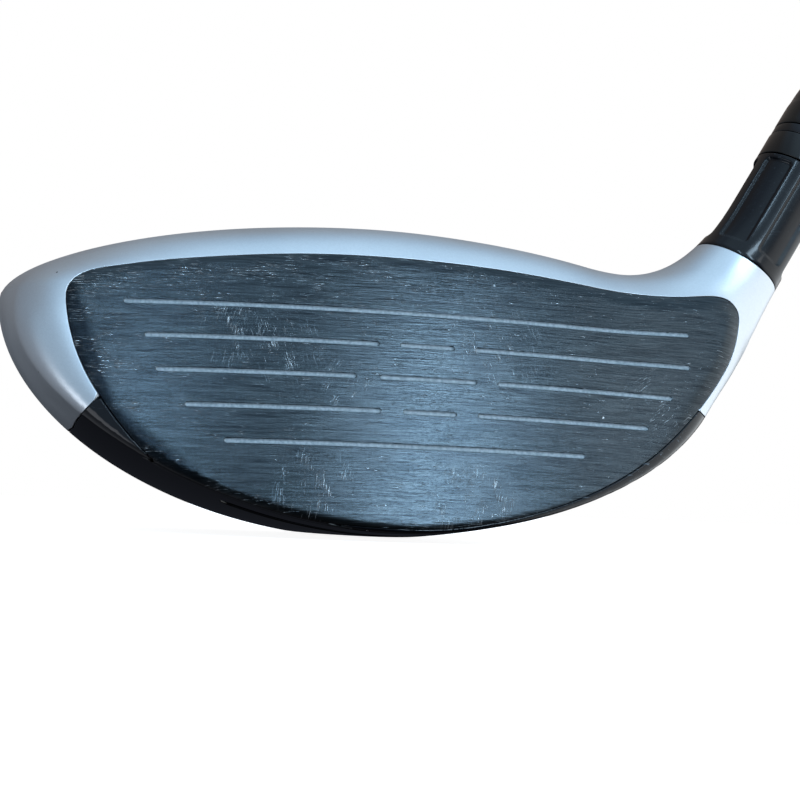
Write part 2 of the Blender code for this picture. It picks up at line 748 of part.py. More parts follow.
def flute_depth(along, angle):
    """Depth of the long shallow windows round the hosel."""
    pitch = 2 * math.pi / FLUTE_COUNT
    offset = (angle - FLUTE_FIRST_ANGLE + pitch / 2) % pitch - pitch / 2
    across = smooth_step(FLUTE_HALF_ANGLE - abs(offset), -0.03, 0.10)
    lengthways = smooth_step(min(along - FLUTE_START, FLUTE_END - along), -0.3, 0.5)
    return FLUTE_DEPTH * float(across * lengthways)


def build_hosel(materials):
    half = JOINT_GAP / 2
    low = SLEEVE_START + half
    high = SLEEVE_END - half
    stations = [low, low + 1.2, FLUTE_START - 0.3, FLUTE_START + 0.5]
    stations += [FLUTE_START + 4.5, FLUTE_END - 4.5, FLUTE_END - 0.5, FLUTE_END + 0.3, high]
    outer = [(along, HOSEL_RADIUS) for along in stations]
    inner = [(along, SLEEVE_BORE_RADIUS) for along in (high, low)]

    def radius_rule(along, angle, radius):
        if radius == SLEEVE_BORE_RADIUS:
            return radius
        return sleeve_radius(along, angle) - flute_depth(along, angle)

    points, faces = turned(outer + inner, 36, shaft_point, radius_rule)
    add_object("hosel_sleeve", points, faces, materials["gloss_black"])

    liner = [(BORE_END, 0.0), (BORE_END, LINER_RADIUS), (high, LINER_RADIUS), (high, BORE_RADIUS),
             (BORE_END + 1.5, BORE_RADIUS), (BORE_END + 1.5, 0.0)]
    add_object("hosel_bore_tube", *turned(liner, 24, shaft_point), materials["raw_steel"])


def shaft_radius(along):
    butt = CLUB_LENGTH - GRIP_CAP_THICKNESS
    t = max(0.0, along - TIP_PARALLEL_END) / (butt - TIP_PARALLEL_END)
    return SHAFT_TIP_RADIUS + (SHAFT_BUTT_RADIUS - SHAFT_TIP_RADIUS) * t ** 0.9


def build_shaft(materials):
    butt = CLUB_LENGTH - GRIP_CAP_THICKNESS
    stations = [SHAFT_TIP_START, 66.0, TIP_PARALLEL_END]
    stations += [TIP_PARALLEL_END + (butt - TIP_PARALLEL_END) * i / 5 for i in range(1, 6)]
    outer = [(s, shaft_radius(s)) for s in stations]
    inner = []
    for s in reversed(stations):
        t = (s - SHAFT_TIP_START) / (butt - SHAFT_TIP_START)
        inner.append((s, shaft_radius(s) - (SHAFT_WALL_TIP + (SHAFT_WALL_BUTT - SHAFT_WALL_TIP) * t)))
    add_object("shaft", *turned(outer + inner, 20, shaft_point), materials["shaft_paint"])

    plug_radius = SHAFT_TIP_RADIUS - SHAFT_WALL_TIP - 0.15
    weight = [(34.0, 0.0), (34.0, plug_radius), (46.0, plug_radius), (46.0, 0.0)]
    add_object("tip_weight", *turned(weight, 16, shaft_point), materials["brass"])
    cork = [(46.3, 0.0), (46.3, plug_radius), (52.0, plug_radius), (52.0, 0.0)]
    add_object("tip_plug", *turned(cork, 16, shaft_point), materials["plug_foam"])


def build_ferrule(materials):
    start = SLEEVE_END + JOINT_GAP / 2
    bore = SHAFT_TIP_RADIUS + 0.15
    collar_end = start + 3.8
    collar = [(start, HOSEL_RADIUS - 0.1), (start + 0.3, HOSEL_RADIUS), (collar_end, HOSEL_RADIUS),
              (collar_end, bore), (start, bore)]
    add_object("ferrule_collar", *turned(collar, 24, shaft_point), materials["ferrule_plastic"])
    ring_end = collar_end + 1.5
    ring = [(collar_end + 0.3, HOSEL_RADIUS - 0.05), (ring_end, HOSEL_RADIUS - 0.05),
            (ring_end, bore), (collar_end + 0.3, bore)]
    add_object("ferrule_trim_ring", *turned(ring, 24, shaft_point), materials["trim_metal"])
    end = start + FERRULE_LENGTH
    outer = [(ring_end + 0.3, HOSEL_RADIUS - 0.05), (start + 11.0, HOSEL_RADIUS - 0.1),
             (start + 15.0, 5.9), (start + 19.0, 5.45), (start + 23.0, 4.95), (end, 4.7)]
    body = outer + [(end, bore), (ring_end + 0.3, bore)]
    add_object("ferrule", *turned(body, 24, shaft_point), materials["ferrule_plastic"])


def build_grip(materials):
    end = CLUB_LENGTH
    start = end - GRIP_LENGTH
    cap_start = end - GRIP_CAP_THICKNESS
    tape = 0.25

    def radius_at(along):
        return shaft_radius(along) + JOINT_GAP / 2

    tape_stations = [start + 6.0, start + 90.0, start + 175.0, cap_start - 0.6]
    outer = [(s, radius_at(s) + tape) for s in tape_stations]
    inner = [(s, radius_at(s)) for s in reversed(tape_stations)]
    add_object("grip_tape", *turned(outer + inner, 20, shaft_point), materials["tape"])

    def grip_radius(along):
        t = (along - start) / GRIP_LENGTH
        return GRIP_MOUTH_RADIUS + (GRIP_BUTT_RADIUS - GRIP_MOUTH_RADIUS) * (0.72 * t + 0.28 * t ** 3)

    stations = [start + GRIP_LENGTH * i / 8 for i in range(1, 8)]
    shell = [(start, GRIP_MOUTH_RADIUS - 0.7), (start + 1.2, GRIP_MOUTH_RADIUS)]
    shell += [(s, grip_radius(s)) for s in stations]
    shell += [(cap_start - JOINT_GAP, grip_radius(cap_start))]
    bore = [(s, radius_at(s) + tape + JOINT_GAP / 2)
            for s in (cap_start - JOINT_GAP, start + 175.0, start + 90.0, start)]
    add_object("grip", *turned(shell + bore, 24, shaft_point), materials["grip_rubber"])

    top = grip_radius(cap_start)
    cap = [(cap_start, 0.0), (cap_start, top), (end - 1.6, top + 0.15), (end - 0.5, top - 0.5),
           (end, top - 1.6), (end, 0.0)]
    add_object("grip_end_cap", *turned(cap, 24, shaft_point), materials["cap_rubber"])


# --- sole weight -------------------------------------------------------------------------------
def build_weight(materials):
    """Threaded boss in the sole, its screw-in swing weight and the sealing washer."""
    seat = settle(np.array([[PORT_CENTRE[0], PORT_CENTRE[1], 4.0]]), rounds=20)
    normal = outward(seat, softening=0.0)[0]
    seat = seat[0]
    side = np.cross(normal, [0.0, 1.0, 0.0])
    side /= np.linalg.norm(side)
    other = np.cross(normal, side)

    def placement(along, a, b):
        return seat + along * normal + a * side + b * other

    rim = PORT_RADIUS - 0.45
    boss = [(-12.0, 3.3), (-12.0, 7.9), (-1.0, 7.9), (-1.0, rim), (0.0, rim), (0.3, rim - 0.5),
            (0.3, 6.3), (-4.2, 6.3), (-4.2, 3.3)]
    add_object("weight_boss", *turned(boss, 24, placement), materials["raw_steel"])
    washer = [(-3.9, 3.4), (-3.9, 5.9), (-3.2, 5.9), (-3.2, 3.4)]
    washer_form = turned(washer, 24, placement)
    add_object("weight_washer", *washer_form, materials["washer_rubber"], origin=seat)
    screw = [(-11.0, 0.0), (-11.0, 2.6), (-10.6, 3.0), (-2.9, 3.0), (-2.9, 5.8), (-0.5, 5.8),
             (0.0, 5.3), (0.0, 2.4), (-2.0, 2.4), (-2.0, 0.0)]
    screw_form = turned(screw, 24, placement)
    add_object("weight_screw", *screw_form, materials["weight_alloy"], origin=seat)


def build_club():
    clear_scene()
    looks = {
        "silver_paint": ((0.62, 0.66, 0.70), 0.38, 0.55),
        "face_steel": ((0.10, 0.12, 0.14), 0.42, 0.85),
        "carbon": ((0.02, 0.02, 0.022), 0.18, 0.0),
        "gloss_black": ((0.012, 0.013, 0.016), 0.12, 0.0),
        "ferrule_plastic": ((0.012, 0.012, 0.014), 0.15, 0.0),
        "slot_rubber": ((0.05, 0.05, 0.055), 0.7, 0.0),
        "raw_steel": ((0.45, 0.46, 0.47), 0.45, 1.0),
        "weight_steel": ((0.32, 0.33, 0.34), 0.5, 1.0),
        "weight_alloy": ((0.5, 0.51, 0.53), 0.3, 1.0),
        "hot_melt": ((0.72, 0.55, 0.25), 0.4, 0.0),
        "washer_rubber": ((0.03, 0.03, 0.03), 0.8, 0.0),
        "shaft_paint": ((0.03, 0.032, 0.036), 0.2, 0.0),
        "brass": ((0.65, 0.45, 0.18), 0.35, 1.0),
        "plug_foam": ((0.6, 0.5, 0.38), 0.9, 0.0),
        "trim_metal": ((0.55, 0.56, 0.58), 0.25, 1.0),
        "tape": ((0.75, 0.72, 0.62), 0.8, 0.0),
        "grip_rubber": ((0.03, 0.03, 0.032), 0.75, 0.0),
        "cap_rubber": ((0.035, 0.035, 0.037), 0.7, 0.0),
    }
    materials = {name: make_material(name, *values) for name, values in looks.items()}
    base = head_surface()
    build_skin(base, materials)
    build_pads(base, materials)
    build_face(base, materials)
    build_hosel(materials)
    build_shaft(materials)
    build_ferrule(materials)
    build_grip(materials)
    build_weight(materials)


build_club()
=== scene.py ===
"""Looks of the fairway wood: fine surfaces, materials, soft light and camera.

The head's outer form is the same smooth field that the frame's solids were cut from, so every
piece lies where its CAD node lies.  Lengths are millimetres until a mesh is made.
"""
import math

import bmesh
import bpy
import numpy as np
from mathutils import Matrix, Vector


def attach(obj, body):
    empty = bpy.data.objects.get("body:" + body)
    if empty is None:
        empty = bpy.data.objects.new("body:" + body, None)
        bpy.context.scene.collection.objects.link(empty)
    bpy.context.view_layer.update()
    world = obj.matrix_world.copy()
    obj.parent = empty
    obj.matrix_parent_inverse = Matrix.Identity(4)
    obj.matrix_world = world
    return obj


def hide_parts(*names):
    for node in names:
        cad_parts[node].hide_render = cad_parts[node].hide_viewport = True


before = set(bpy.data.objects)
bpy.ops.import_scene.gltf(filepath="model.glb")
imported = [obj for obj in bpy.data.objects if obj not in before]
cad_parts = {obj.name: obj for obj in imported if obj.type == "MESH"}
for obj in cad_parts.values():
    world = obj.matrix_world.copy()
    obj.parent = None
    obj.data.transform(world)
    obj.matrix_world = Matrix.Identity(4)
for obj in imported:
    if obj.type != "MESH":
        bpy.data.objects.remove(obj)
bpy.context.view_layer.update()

METRE = 0.001

# --- driving dimensions, as in the frame ---------------------------------------------------------
LOFT = math.radians(15.0)
FACE_CENTRE = np.array([0.0, -15.0, 19.5])
FACE_BULGE_RADIUS = 330.0
FACE_ROLL_RADIUS = 280.0
BODY_CENTRE_X = -3.4
BODY_CENTRE_Y = 16.0
TOE_REACH = 51.7
HEEL_REACH = 52.4
BACK_REACH = 49.0
FRONT_REACH_CROWN = 47.6
FRONT_REACH_SOLE = 135.0
CROWN_HEIGHT = 43.5
SOLE_DIP = 0.63
SKIRT_HEIGHT = 31.0
SKIRT_BACK_DROP = 8.0
BODY_POWER = 1.85
POLE_ROUNDING = 0.04
LIE = math.radians(59.5)
AXIS_GROUND_X = 26.75
AXIS = np.array([math.cos(LIE), 0.0, math.sin(LIE)])
AXIS_SIDE = np.array([math.sin(LIE), 0.0, -math.cos(LIE)])
AXIS_BACK = np.array([0.0, 1.0, 0.0])
HOSEL_RADIUS = 6.2
NECK_FILLET = 14.8
NECK_FILLET_HEEL = 9.5
NECK_START = 33.6
SLEEVE_START = 47.5
SLEEVE_END = 65.0
SLEEVE_BORE_RADIUS = 5.15
FLUTE_COUNT = 6
FLUTE_HALF_ANGLE = math.radians(21.0)
FLUTE_FIRST_ANGLE = math.radians(-79.0)
FLUTE_DEPTH = 0.45
FLUTE_START = 49.6
FLUTE_END = 64.2
FLUTE_CORNER = 0.7
CLUB_LENGTH = 1098.5
SHAFT_TIP_RADIUS = 4.25
SHAFT_BUTT_RADIUS = 7.6
SHAFT_TIP_START = 33.0
TIP_PARALLEL_END = 110.0
FERRULE_LENGTH = 25.0
GRIP_LENGTH = 267.0
GRIP_MOUTH_RADIUS = 9.3
GRIP_BUTT_RADIUS = 13.2
GRIP_CAP_THICKNESS = 4.0
GROOVE_SPACING = 4.6
GROOVE_TOP = 10.6
GROOVE_HALF_WIDTH = 0.27
GRIP_ROW_PITCH = 5.2
GRIP_RECESSES_ROUND = 16
GRIP_RECESS_LEAN = 0.42
GRIP_RECESS_DEPTH = 0.42
GRIP_RING_PITCH = 3.0
GRIP_RING_DEPTH = 0.35
PORT_CENTRE = (0.0, 46.0)
PORT_RADIUS = 8.6
SCREW_RADIUS = 3.0
THREAD_DEPTH = 0.16
LOBE_COUNT = 6
LOBE_HEIGHT = 0.28
KNURL_COUNT = 48
KNURL_DEPTH = 0.10
SLOT_HALF_LENGTH = 24.0
SLOT_HALF_WIDTH = 1.7
SLOT_Y = -9.5
SLOT_SINK = 0.35                   # the slot's insert lies this far under the sole
CROWN_MARGIN = 4.5                 # painted frame beside the crown panel
SOLE_LINE_HEIGHT = 15.1
SOLE_LINE_TILT = 0.042
SOLE_CORNER_X = -43.95
FACE_UP = np.array([0.0, math.sin(LOFT), math.cos(LOFT)])
FACE_OUT = np.array([0.0, -math.cos(LOFT), math.sin(LOFT)])

# Striking face outline in face coordinates: toe-to-heel and up from the face centre.
FACE_OUTLINE = [
    (-46.5, 10.5), (-45.9, 13.3), (-43.6, 15.0), (-39.7, 15.8), (-32.5, 16.9), (-17.0, 18.4),
    (-3.0, 18.7), (12.0, 18.2), (28.2, 16.9), (37.4, 16.8), (43.8, 17.4), (46.6, 16.4),
    (47.4, 13.9), (45.2, 7.7), (39.6, 0.4), (30.9, -7.6), (21.0, -13.3), (9.0, -17.2),
    (-3.0, -18.6), (-19.5, -17.2), (-29.4, -14.0), (-36.6, -9.0), (-42.2, -1.9), (-45.2, 4.3),
]
# Score lines: row number, then the two ends measured from the face centre.
SCORE_LINES = [
    (0, -39.3, 38.1),
    (1, -36.6, -6.6), (1, -3.6, 3.6), (1, 6.7, 38.1),
    (2, -35.1, -9.7), (2, -6.5, 6.5), (2, 9.6, 35.1),
    (3, -31.4, -6.6), (3, -3.5, 3.5), (3, 6.6, 31.0),
    (4, -26.5, 21.3),
]

# --- fineness of the visible surfaces ------------------------------------------------------------
SURFACE_CELL = 1.0
EDGE_AT_NECK = 0.8
EDGE_AT_SOLE_LIP = 0.55
PANEL_GAP = 0.05                   # half the visible gap between two panels
FACE_RIM_REACH = 2.6               # how far the head may fall away inside the face's outline
FACE_ROUNDING = 0.10
FRAME_ROUNDING = 0.06
PANEL_ROUNDING = 0.16
RIM_SHARES = (1.0, 0.55, 0.22, 0.05)
SKIN_THICKNESS = 1.0
# Score line section: distance out from the line's edge, and depth there.
GROOVE_OFFSETS = (0.12, 0.03, -0.04, -0.09)
GROOVE_DEPTHS = (0.0, 0.07, 0.16, 0.22)
PAINTED_TO = 0.01                  # the paint ends this far outside a line's edge
EDGE_AT_GROOVE_END = 0.2
EDGE_ON_FACE = 1.6

# --- wear, light and camera ----------------------------------------------------------------------
# Worn places on the face, in metres across and up: centre, reach, lean of the lines, variation.
WORN_SPOTS = (
    ((-0.0260, 0.0065), 0.0050, 0.25, 0.0), ((-0.0195, 0.0055), 0.0060, -0.30, 9.0),
    ((-0.0110, 0.0000), 0.0040, 0.50, 17.0), ((0.0085, 0.0070), 0.0080, -0.35, 31.0),
    ((-0.0150, -0.0140), 0.0060, 0.10, 43.0), ((0.0060, -0.0160), 0.0070, 0.15, 57.0),
    ((0.0330, 0.0000), 0.0060, 0.95, 71.0),
)
# Chips in the silver paint: place in metres and size.
PAINT_CHIPS = (
    ((-0.0477, -0.0059, 0.0326), 0.00016), ((-0.0493, -0.0065, 0.0196), 0.00017),
    ((0.0469, -0.0047, 0.0425), 0.00042),
)
# Sky: its strength, the direction of its brightest part, and colours by nearness to that direction.
SKY_STRENGTH = 1.5
SKY_AIM = (0.25, -0.55, 0.80)
SKY_STOPS = (
    (0.0, (0.08, 0.07, 0.06)), (0.36, (0.14, 0.12, 0.11)), (0.74, (0.19, 0.18, 0.175)),
    (0.90, (0.25, 0.33, 0.42)), (0.99, (0.46, 0.64, 0.80)),
)
# Panels on the walls: direction, cosines where the edge starts and ends, and tint.
SIDE_PANELS = (
    ((-0.92, 0.15, -0.22), 0.20, 0.85, (0.165, 0.18, 0.205)),
    ((-0.80, -0.50, -0.05), 0.72, 0.95, (0.26, 0.34, 0.42)),
    ((0.10, 0.97, -0.24), 0.86, 0.94, (0.008, 0.009, 0.012)),
    ((-0.88, -0.24, -0.41), 0.950, 0.985, (1.3, 1.38, 1.5)),
    ((0.96, -0.05, -0.10), 0.55, 0.85, (1.0, 1.06, 1.1)),
)
BELOW_TINT = (0.016, 0.013, 0.012)
BELOW_EDGE = (0.22, -0.30)
# Soft lights: azimuth from the front towards the heel, elevation, angular width and height, radiance.
LIGHTS = (
    ("toe_strip", -12.0, 29.0, 1.8, 26.0, 20.0, (0.62, 0.92, 1.2)),
    ("toe_low_strip", -13.0, 12.0, 4.0, 10.0, 7.0, (0.62, 0.92, 1.2)),
    ("low_panel", 17.5, 21.0, 7.0, 18.0, 16.5, (0.68, 0.93, 1.15)),
    ("middle_panel", 19.5, 34.0, 9.0, 8.0, 13.5, (0.68, 0.93, 1.15)),
    ("heel_panel", 40.0, 24.0, 8.0, 24.0, 2.8, (0.95, 0.95, 0.95)),
)
LIGHT_DISTANCE = 1.3
FLOOR_HEIGHT = -0.4
FLOOR_RINGS = 16
FLOOR_SIDES = 64
CAMERA_PLACE = (-0.05305, -0.20662, 0.00381)
CAMERA_RIGHT = (0.96727, -0.25092, 0.03777)
CAMERA_UP = (-0.05440, -0.05964, 0.99674)
CAMERA_BACK = (-0.24784, -0.96617, -0.07134)
CAMERA_LENS = 69.06


# --- the head's field ----------------------------------------------------------------------------
def smooth_max(a, b, width):
    """Maximum of two fields with a rounded edge."""
    overlap = np.maximum(width - np.abs(a - b), 0.0) / width
    return np.maximum(a, b) + overlap * overlap * width * 0.25


def smooth_min(a, b, width):
    return -smooth_max(-a, -b, width)


def smooth_step(value, low, high):
    t = np.clip((value - low) / (high - low), 0.0, 1.0)
    return t * t * (3.0 - 2.0 * t)


def shaft_coordinates(points):
    """Distance along the shaft's axis, and the two offsets across it."""
    offset = points - np.array([AXIS_GROUND_X, 0.0, 0.0])
    return offset @ AXIS, offset @ AXIS_SIDE, offset @ AXIS_BACK


def shaft_point(along, side, back):
    along = np.asarray(along, float)[..., None]
    side = np.asarray(side, float)[..., None]
    back = np.asarray(back, float)[..., None]
    start = np.array([AXIS_GROUND_X, 0.0, 0.0])
    return start + along * AXIS + side * AXIS_SIDE + back * AXIS_BACK


def face_coordinates(points):
    """Toe-to-heel, up, and forward offsets from the face centre."""
    offset = points - FACE_CENTRE
    return offset[:, 0], offset @ FACE_UP, offset @ FACE_OUT


def face_surface_offset(across, up):
    return -across ** 2 / (2 * FACE_BULGE_RADIUS) - up ** 2 / (2 * FACE_ROLL_RADIUS)


def face_field(points):
    across, up, forward = face_coordinates(points)
    return forward - face_surface_offset(across, up)


def bowl_field(points):
    """Rounded body, near an ellipsoid, with a different reach in each direction."""
    x, y, z = points.T
    behind = np.maximum(y - BODY_CENTRE_Y, 0.0) / BACK_REACH
    skirt = SKIRT_HEIGHT - SKIRT_BACK_DROP * behind ** 2
    rise = z - skirt
    reach_x = np.where(x < BODY_CENTRE_X, TOE_REACH, HEEL_REACH)
    front = FRONT_REACH_SOLE + (FRONT_REACH_CROWN - FRONT_REACH_SOLE) * smooth_step(rise, -14.0, 6.0)
    reach_y = np.where(y < BODY_CENTRE_Y, front, BACK_REACH)
    reach_z = np.where(rise > 0, CROWN_HEIGHT - skirt, skirt + SOLE_DIP)
    reaches = np.stack([reach_x, reach_y, reach_z])
    shares = np.stack([x - BODY_CENTRE_X, y - BODY_CENTRE_Y, rise]) / reaches
    shares = np.sqrt(shares ** 2 + POLE_ROUNDING ** 2)
    size = np.sum(shares ** BODY_POWER, axis=0) ** (1.0 / BODY_POWER)
    slope = np.sqrt(np.sum((shares ** (BODY_POWER - 1.0) / reaches) ** 2, axis=0))
    return (size - 1.0) / (slope * size ** (1.0 - BODY_POWER))


def neck_field(points):
    along, side, back = shaft_coordinates(points)
    across = np.sqrt(side * side + back * back) - HOSEL_RADIUS
    return smooth_max(across, NECK_START - along, 8.0)


def head_field(points, softening=0.0):
    """Signed form of the whole head with its neck; softening widens every rounded edge."""
    edge = 1.3 + 4.4 * smooth_step(points[:, 2], 7.0, 24.0) + softening
    head = smooth_max(bowl_field(points), face_field(points), edge)
    heel_share = smooth_step(shaft_coordinates(points)[1], -8.0, 6.0)
    fillet = NECK_FILLET + (NECK_FILLET_HEEL - NECK_FILLET) * heel_share + softening
    whole = smooth_min(head, neck_field(points), fillet)
    return smooth_max(whole, -points[:, 2], 0.2 + softening)


def field_gradient(field, points, step=0.02):
    columns = []
    for axis in range(3):
        shift = np.zeros(3)
        shift[axis] = step
        columns.append((field(points + shift) - field(points - shift)) / (2 * step))
    return np.stack(columns, axis=1)


def settle(points, rounds=6):
    """Move points onto the head's surface."""
    for _ in range(rounds):
        value = head_field(points)
        slope = field_gradient(head_field, points)
        points = points - slope * (value / (np.sum(slope * slope, axis=1) + 1e-9))[:, None]
    return points


def outward(points, softening=0.0):
    slope = field_gradient(lambda p: head_field(p, softening), points)
    return slope / np.linalg.norm(slope, axis=1)[:, None]


# --- surface building ----------------------------------------------------------------------------
def surface_net(low, high, cell):
    """Triangles of the head's surface: one vertex per grid cell that the surface crosses."""
    counts = np.ceil((np.array(high) - np.array(low)) / cell).astype(int) + 1
    axes = [low[i] + cell * np.arange(counts[i]) for i in range(3)]
    grid = np.stack(np.meshgrid(*axes, indexing="ij"), axis=-1)
    inside = (head_field(grid.reshape(-1, 3)) < 0).reshape(counts)
    corner_sum = np.zeros(counts - 1, int)
    for i in (0, 1):
        for j in (0, 1):
            for k in (0, 1):
                part = inside[i:counts[0] - 1 + i, j:counts[1] - 1 + j, k:counts[2] - 1 + k]
                corner_sum += part
    crossed = (corner_sum > 0) & (corner_sum < 8)
    index = -np.ones(counts - 1, int)
    index[crossed] = np.arange(crossed.sum())
    points = grid[:-1, :-1, :-1][crossed] + cell / 2
    quads = []
    for axis in range(3):
        first = np.moveaxis(inside, axis, 0)
        cells = np.moveaxis(index, axis, 0)
        a, b, c = np.nonzero(first[:-1] != first[1:])
        free = (b > 0) & (c > 0) & (b < cells.shape[1]) & (c < cells.shape[2])
        a, b, c = a[free], b[free], c[free]
        ring = np.stack([cells[a, b - 1, c - 1], cells[a, b, c - 1], cells[a, b, c],
                         cells[a, b - 1, c]], axis=1)
        flip = first[a + 1, b, c]
        if axis == 1:
            flip = ~flip
        ring[flip] = ring[flip][:, ::-1]
        quads.append(ring)
    quads = np.concatenate(quads)
    return points, np.concatenate([quads[:, [0, 1, 2]], quads[:, [0, 2, 3]]])


def relax(points, triangles, rounds=4):
    """Even out the triangles along the surface."""
    edges = np.concatenate([triangles[:, [0, 1]], triangles[:, [1, 2]], triangles[:, [2, 0]]])
    for _ in range(rounds):
        total = np.zeros_like(points)
        count = np.zeros(len(points))
        np.add.at(total, edges[:, 0], points[edges[:, 1]])
        np.add.at(count, edges[:, 0], 1)
        points = settle(0.5 * points + 0.5 * total / count[:, None], rounds=2)
    return points


def refine(points, triangles, edge_limit):
    """Halve each edge that is longer than edge_limit(middle) allows, keeping the surface whole."""
    pairs = np.sort(np.concatenate([triangles[:, [0, 1]], triangles[:, [1, 2]],
                                    triangles[:, [2, 0]]]), axis=1)
    edges, place = np.unique(pairs, axis=0, return_inverse=True)
    place = place.reshape(3, -1).T
    middle = points[edges].mean(axis=1)
    length = np.linalg.norm(points[edges[:, 0]] - points[edges[:, 1]], axis=1)
    cut = length > edge_limit(middle)
    number = -np.ones(len(edges), int)
    number[cut] = len(points) + np.arange(cut.sum())
    mids = number[place]
    result = [triangles[(mids >= 0).sum(axis=1) == 0]]
    for turn in range(3):
        a, b, c = (triangles[:, (turn + k) % 3] for k in range(3))
        ab, bc, ca = (mids[:, (turn + k) % 3] for k in range(3))
        one = (ab >= 0) & (bc < 0) & (ca < 0)
        two = (ab >= 0) & (bc >= 0) & (ca < 0)
        result += [np.stack(t, axis=1)[one] for t in ((a, ab, c), (ab, b, c))]
        result += [np.stack(t, axis=1)[two] for t in ((ab, b, bc), (a, ab, bc), (a, bc, c))]
        if turn == 0:
            three = (ab >= 0) & (bc >= 0) & (ca >= 0)
            corners = ((a, ab, ca), (ab, b, bc), (ca, bc, c), (ab, bc, ca))
            result += [np.stack(t, axis=1)[three] for t in corners]
    return np.concatenate([points, settle(middle[cut])]), np.concatenate(result)


def score(points, triangles, level):
    """Split the triangles along level = 0, and give each new triangle's side of the line."""
    level = np.where(np.abs(level) < 1e-6, 1e-6, level)
    below = level[triangles] < 0
    count = below.sum(axis=1)
    mixed = (count == 1) | (count == 2)
    own = triangles[mixed]
    lone = np.argmax(below[mixed] == (count[mixed] == 1)[:, None], axis=1)
    a, b, c = (own[np.arange(len(own)), (lone + k) % 3] for k in range(3))
    pairs = np.sort(np.concatenate([np.stack([a, b], 1), np.stack([a, c], 1)]), axis=1)
    edges, place = np.unique(pairs, axis=0, return_inverse=True)
    first, second = edges.T
    share = np.clip(level[first] / (level[first] - level[second]), 0.01, 0.99)[:, None]
    new_points = points[first] + share * (points[second] - points[first])
    ab, ac = (len(points) + place.reshape(-1)).reshape(2, -1)
    pieces = [np.stack(t, 1) for t in ((a, ab, ac), (ab, b, c), (ab, c, ac))]
    lone_side = np.where(count[mixed] == 1, -1, 1)
    side = np.concatenate([np.where(count[~mixed] == 3, -1, 1), lone_side, -lone_side, -lone_side])
    return (np.concatenate([points, new_points]),
            np.concatenate([triangles[~mixed], *pieces]), side)


def drop_loose(points, triangles):
    used = np.unique(triangles)
    renumber = -np.ones(len(points), int)
    renumber[used] = np.arange(len(used))
    return points[used], renumber[triangles]


def rim_edges(triangles):
    """Directed edges that belong to only one triangle."""
    edges = np.concatenate([triangles[:, [0, 1]], triangles[:, [1, 2]], triangles[:, [2, 0]]])
    size = triangles.max() + 1
    forward = edges[:, 0] * size + edges[:, 1]
    backward = edges[:, 1] * size + edges[:, 0]
    return edges[~np.isin(forward, backward)]


def shell(points, triangles, depth, directions, thickness):
    """Closed thin solid under a surface whose points are sunk by depth."""
    top = points - directions * depth[:, None]
    bottom = points - directions * np.maximum(thickness, depth + 0.1)[:, None]
    count = len(points)
    a, b = rim_edges(triangles).T
    walls = np.stack([b, a, a + count, b + count], axis=1)
    faces = [tuple(map(int, t)) for t in triangles]
    faces += [tuple(map(int, t)) for t in triangles[:, ::-1] + count]
    faces += [tuple(map(int, t)) for t in walls]
    return np.concatenate([top, bottom]), faces


def round_rim(rows, triangles, rounding):
    """Rows along the rounded rim; a row holds a point, its distance to the rim, and any others."""
    for share in RIM_SHARES:
        rows, triangles, _ = score(rows, triangles, rows[:, 3] - rounding * share)
    return rows, triangles


def rim_depth(margin, rounding):
    """How far the rounded rim lies under the full surface."""
    inset = np.clip(margin / rounding, 0.0, 1.0)
    return rounding * (1.0 - np.sqrt(1.0 - (1.0 - inset) ** 2))


# --- regions of the head's surface ---------------------------------------------------------------
def closed_curve(corners, steps):
    """Smooth closed curve through the corners."""
    corners = np.array(corners, float)
    count = len(corners)
    curve = []
    for i in range(count):
        p0, p1, p2, p3 = (corners[(i + k) % count] for k in (-1, 0, 1, 2))
        for s in range(steps):
            t = s / steps
            curve.append(0.5 * (2 * p1 + (p2 - p0) * t + (2 * p0 - 5 * p1 + 4 * p2 - p3) * t * t
                                + (3 * p1 - p0 - 3 * p2 + p3) * t ** 3))
    return np.array(curve)


def outline_distance(points, outline):
    """Signed distance to a closed outline in its own plane, negative inside."""
    start = outline
    end = np.roll(outline, -1, axis=0)
    nearest = np.full(len(points), 1e9)
    inside = np.zeros(len(points), bool)
    for (ax, ay), (bx, by) in zip(start, end):
        dx, dy = bx - ax, by - ay
        t = np.clip(((points[:, 0] - ax) * dx + (points[:, 1] - ay) * dy) / (dx * dx + dy * dy), 0, 1)
        gap = (points[:, 0] - ax - t * dx) ** 2 + (points[:, 1] - ay - t * dy) ** 2
        nearest = np.minimum(nearest, gap)
        crosses = (ay > points[:, 1]) != (by > points[:, 1])
        safe = np.where(crosses, dy, 1.0)
        inside ^= crosses & (points[:, 0] < ax + (points[:, 1] - ay) * dx / safe)
    return np.where(inside, -1.0, 1.0) * np.sqrt(nearest)


FACE_CURVE = closed_curve(FACE_OUTLINE, 6)


def flat_coordinates(points):
    across, up, _ = face_coordinates(points)
    return np.stack([across, up], axis=1)


def face_region(points):
    """Negative on the striking face."""
    outline = outline_distance(flat_coordinates(points), FACE_CURVE)
    return np.maximum(outline, -face_field(points) - FACE_RIM_REACH)


def crown_region(points):
    """Negative on the composite crown, behind the painted front strip."""
    x, y, z = points.T
    reach_x = np.where(x < BODY_CENTRE_X, TOE_REACH, HEEL_REACH) - CROWN_MARGIN
    reach_y = BACK_REACH - CROWN_MARGIN
    oval = np.hypot((x - BODY_CENTRE_X) / reach_x, (y - BODY_CENTRE_Y) / reach_y) - 1.0
    front = 3.0 + x * x / 700.0 - y
    _, side, back = shaft_coordinates(points)
    neck = 15.0 - np.hypot(side, back)
    rule = smooth_max(smooth_max(oval * 44.0, front, 8.0), neck, 8.0)
    return np.maximum(rule, 22.0 - z)


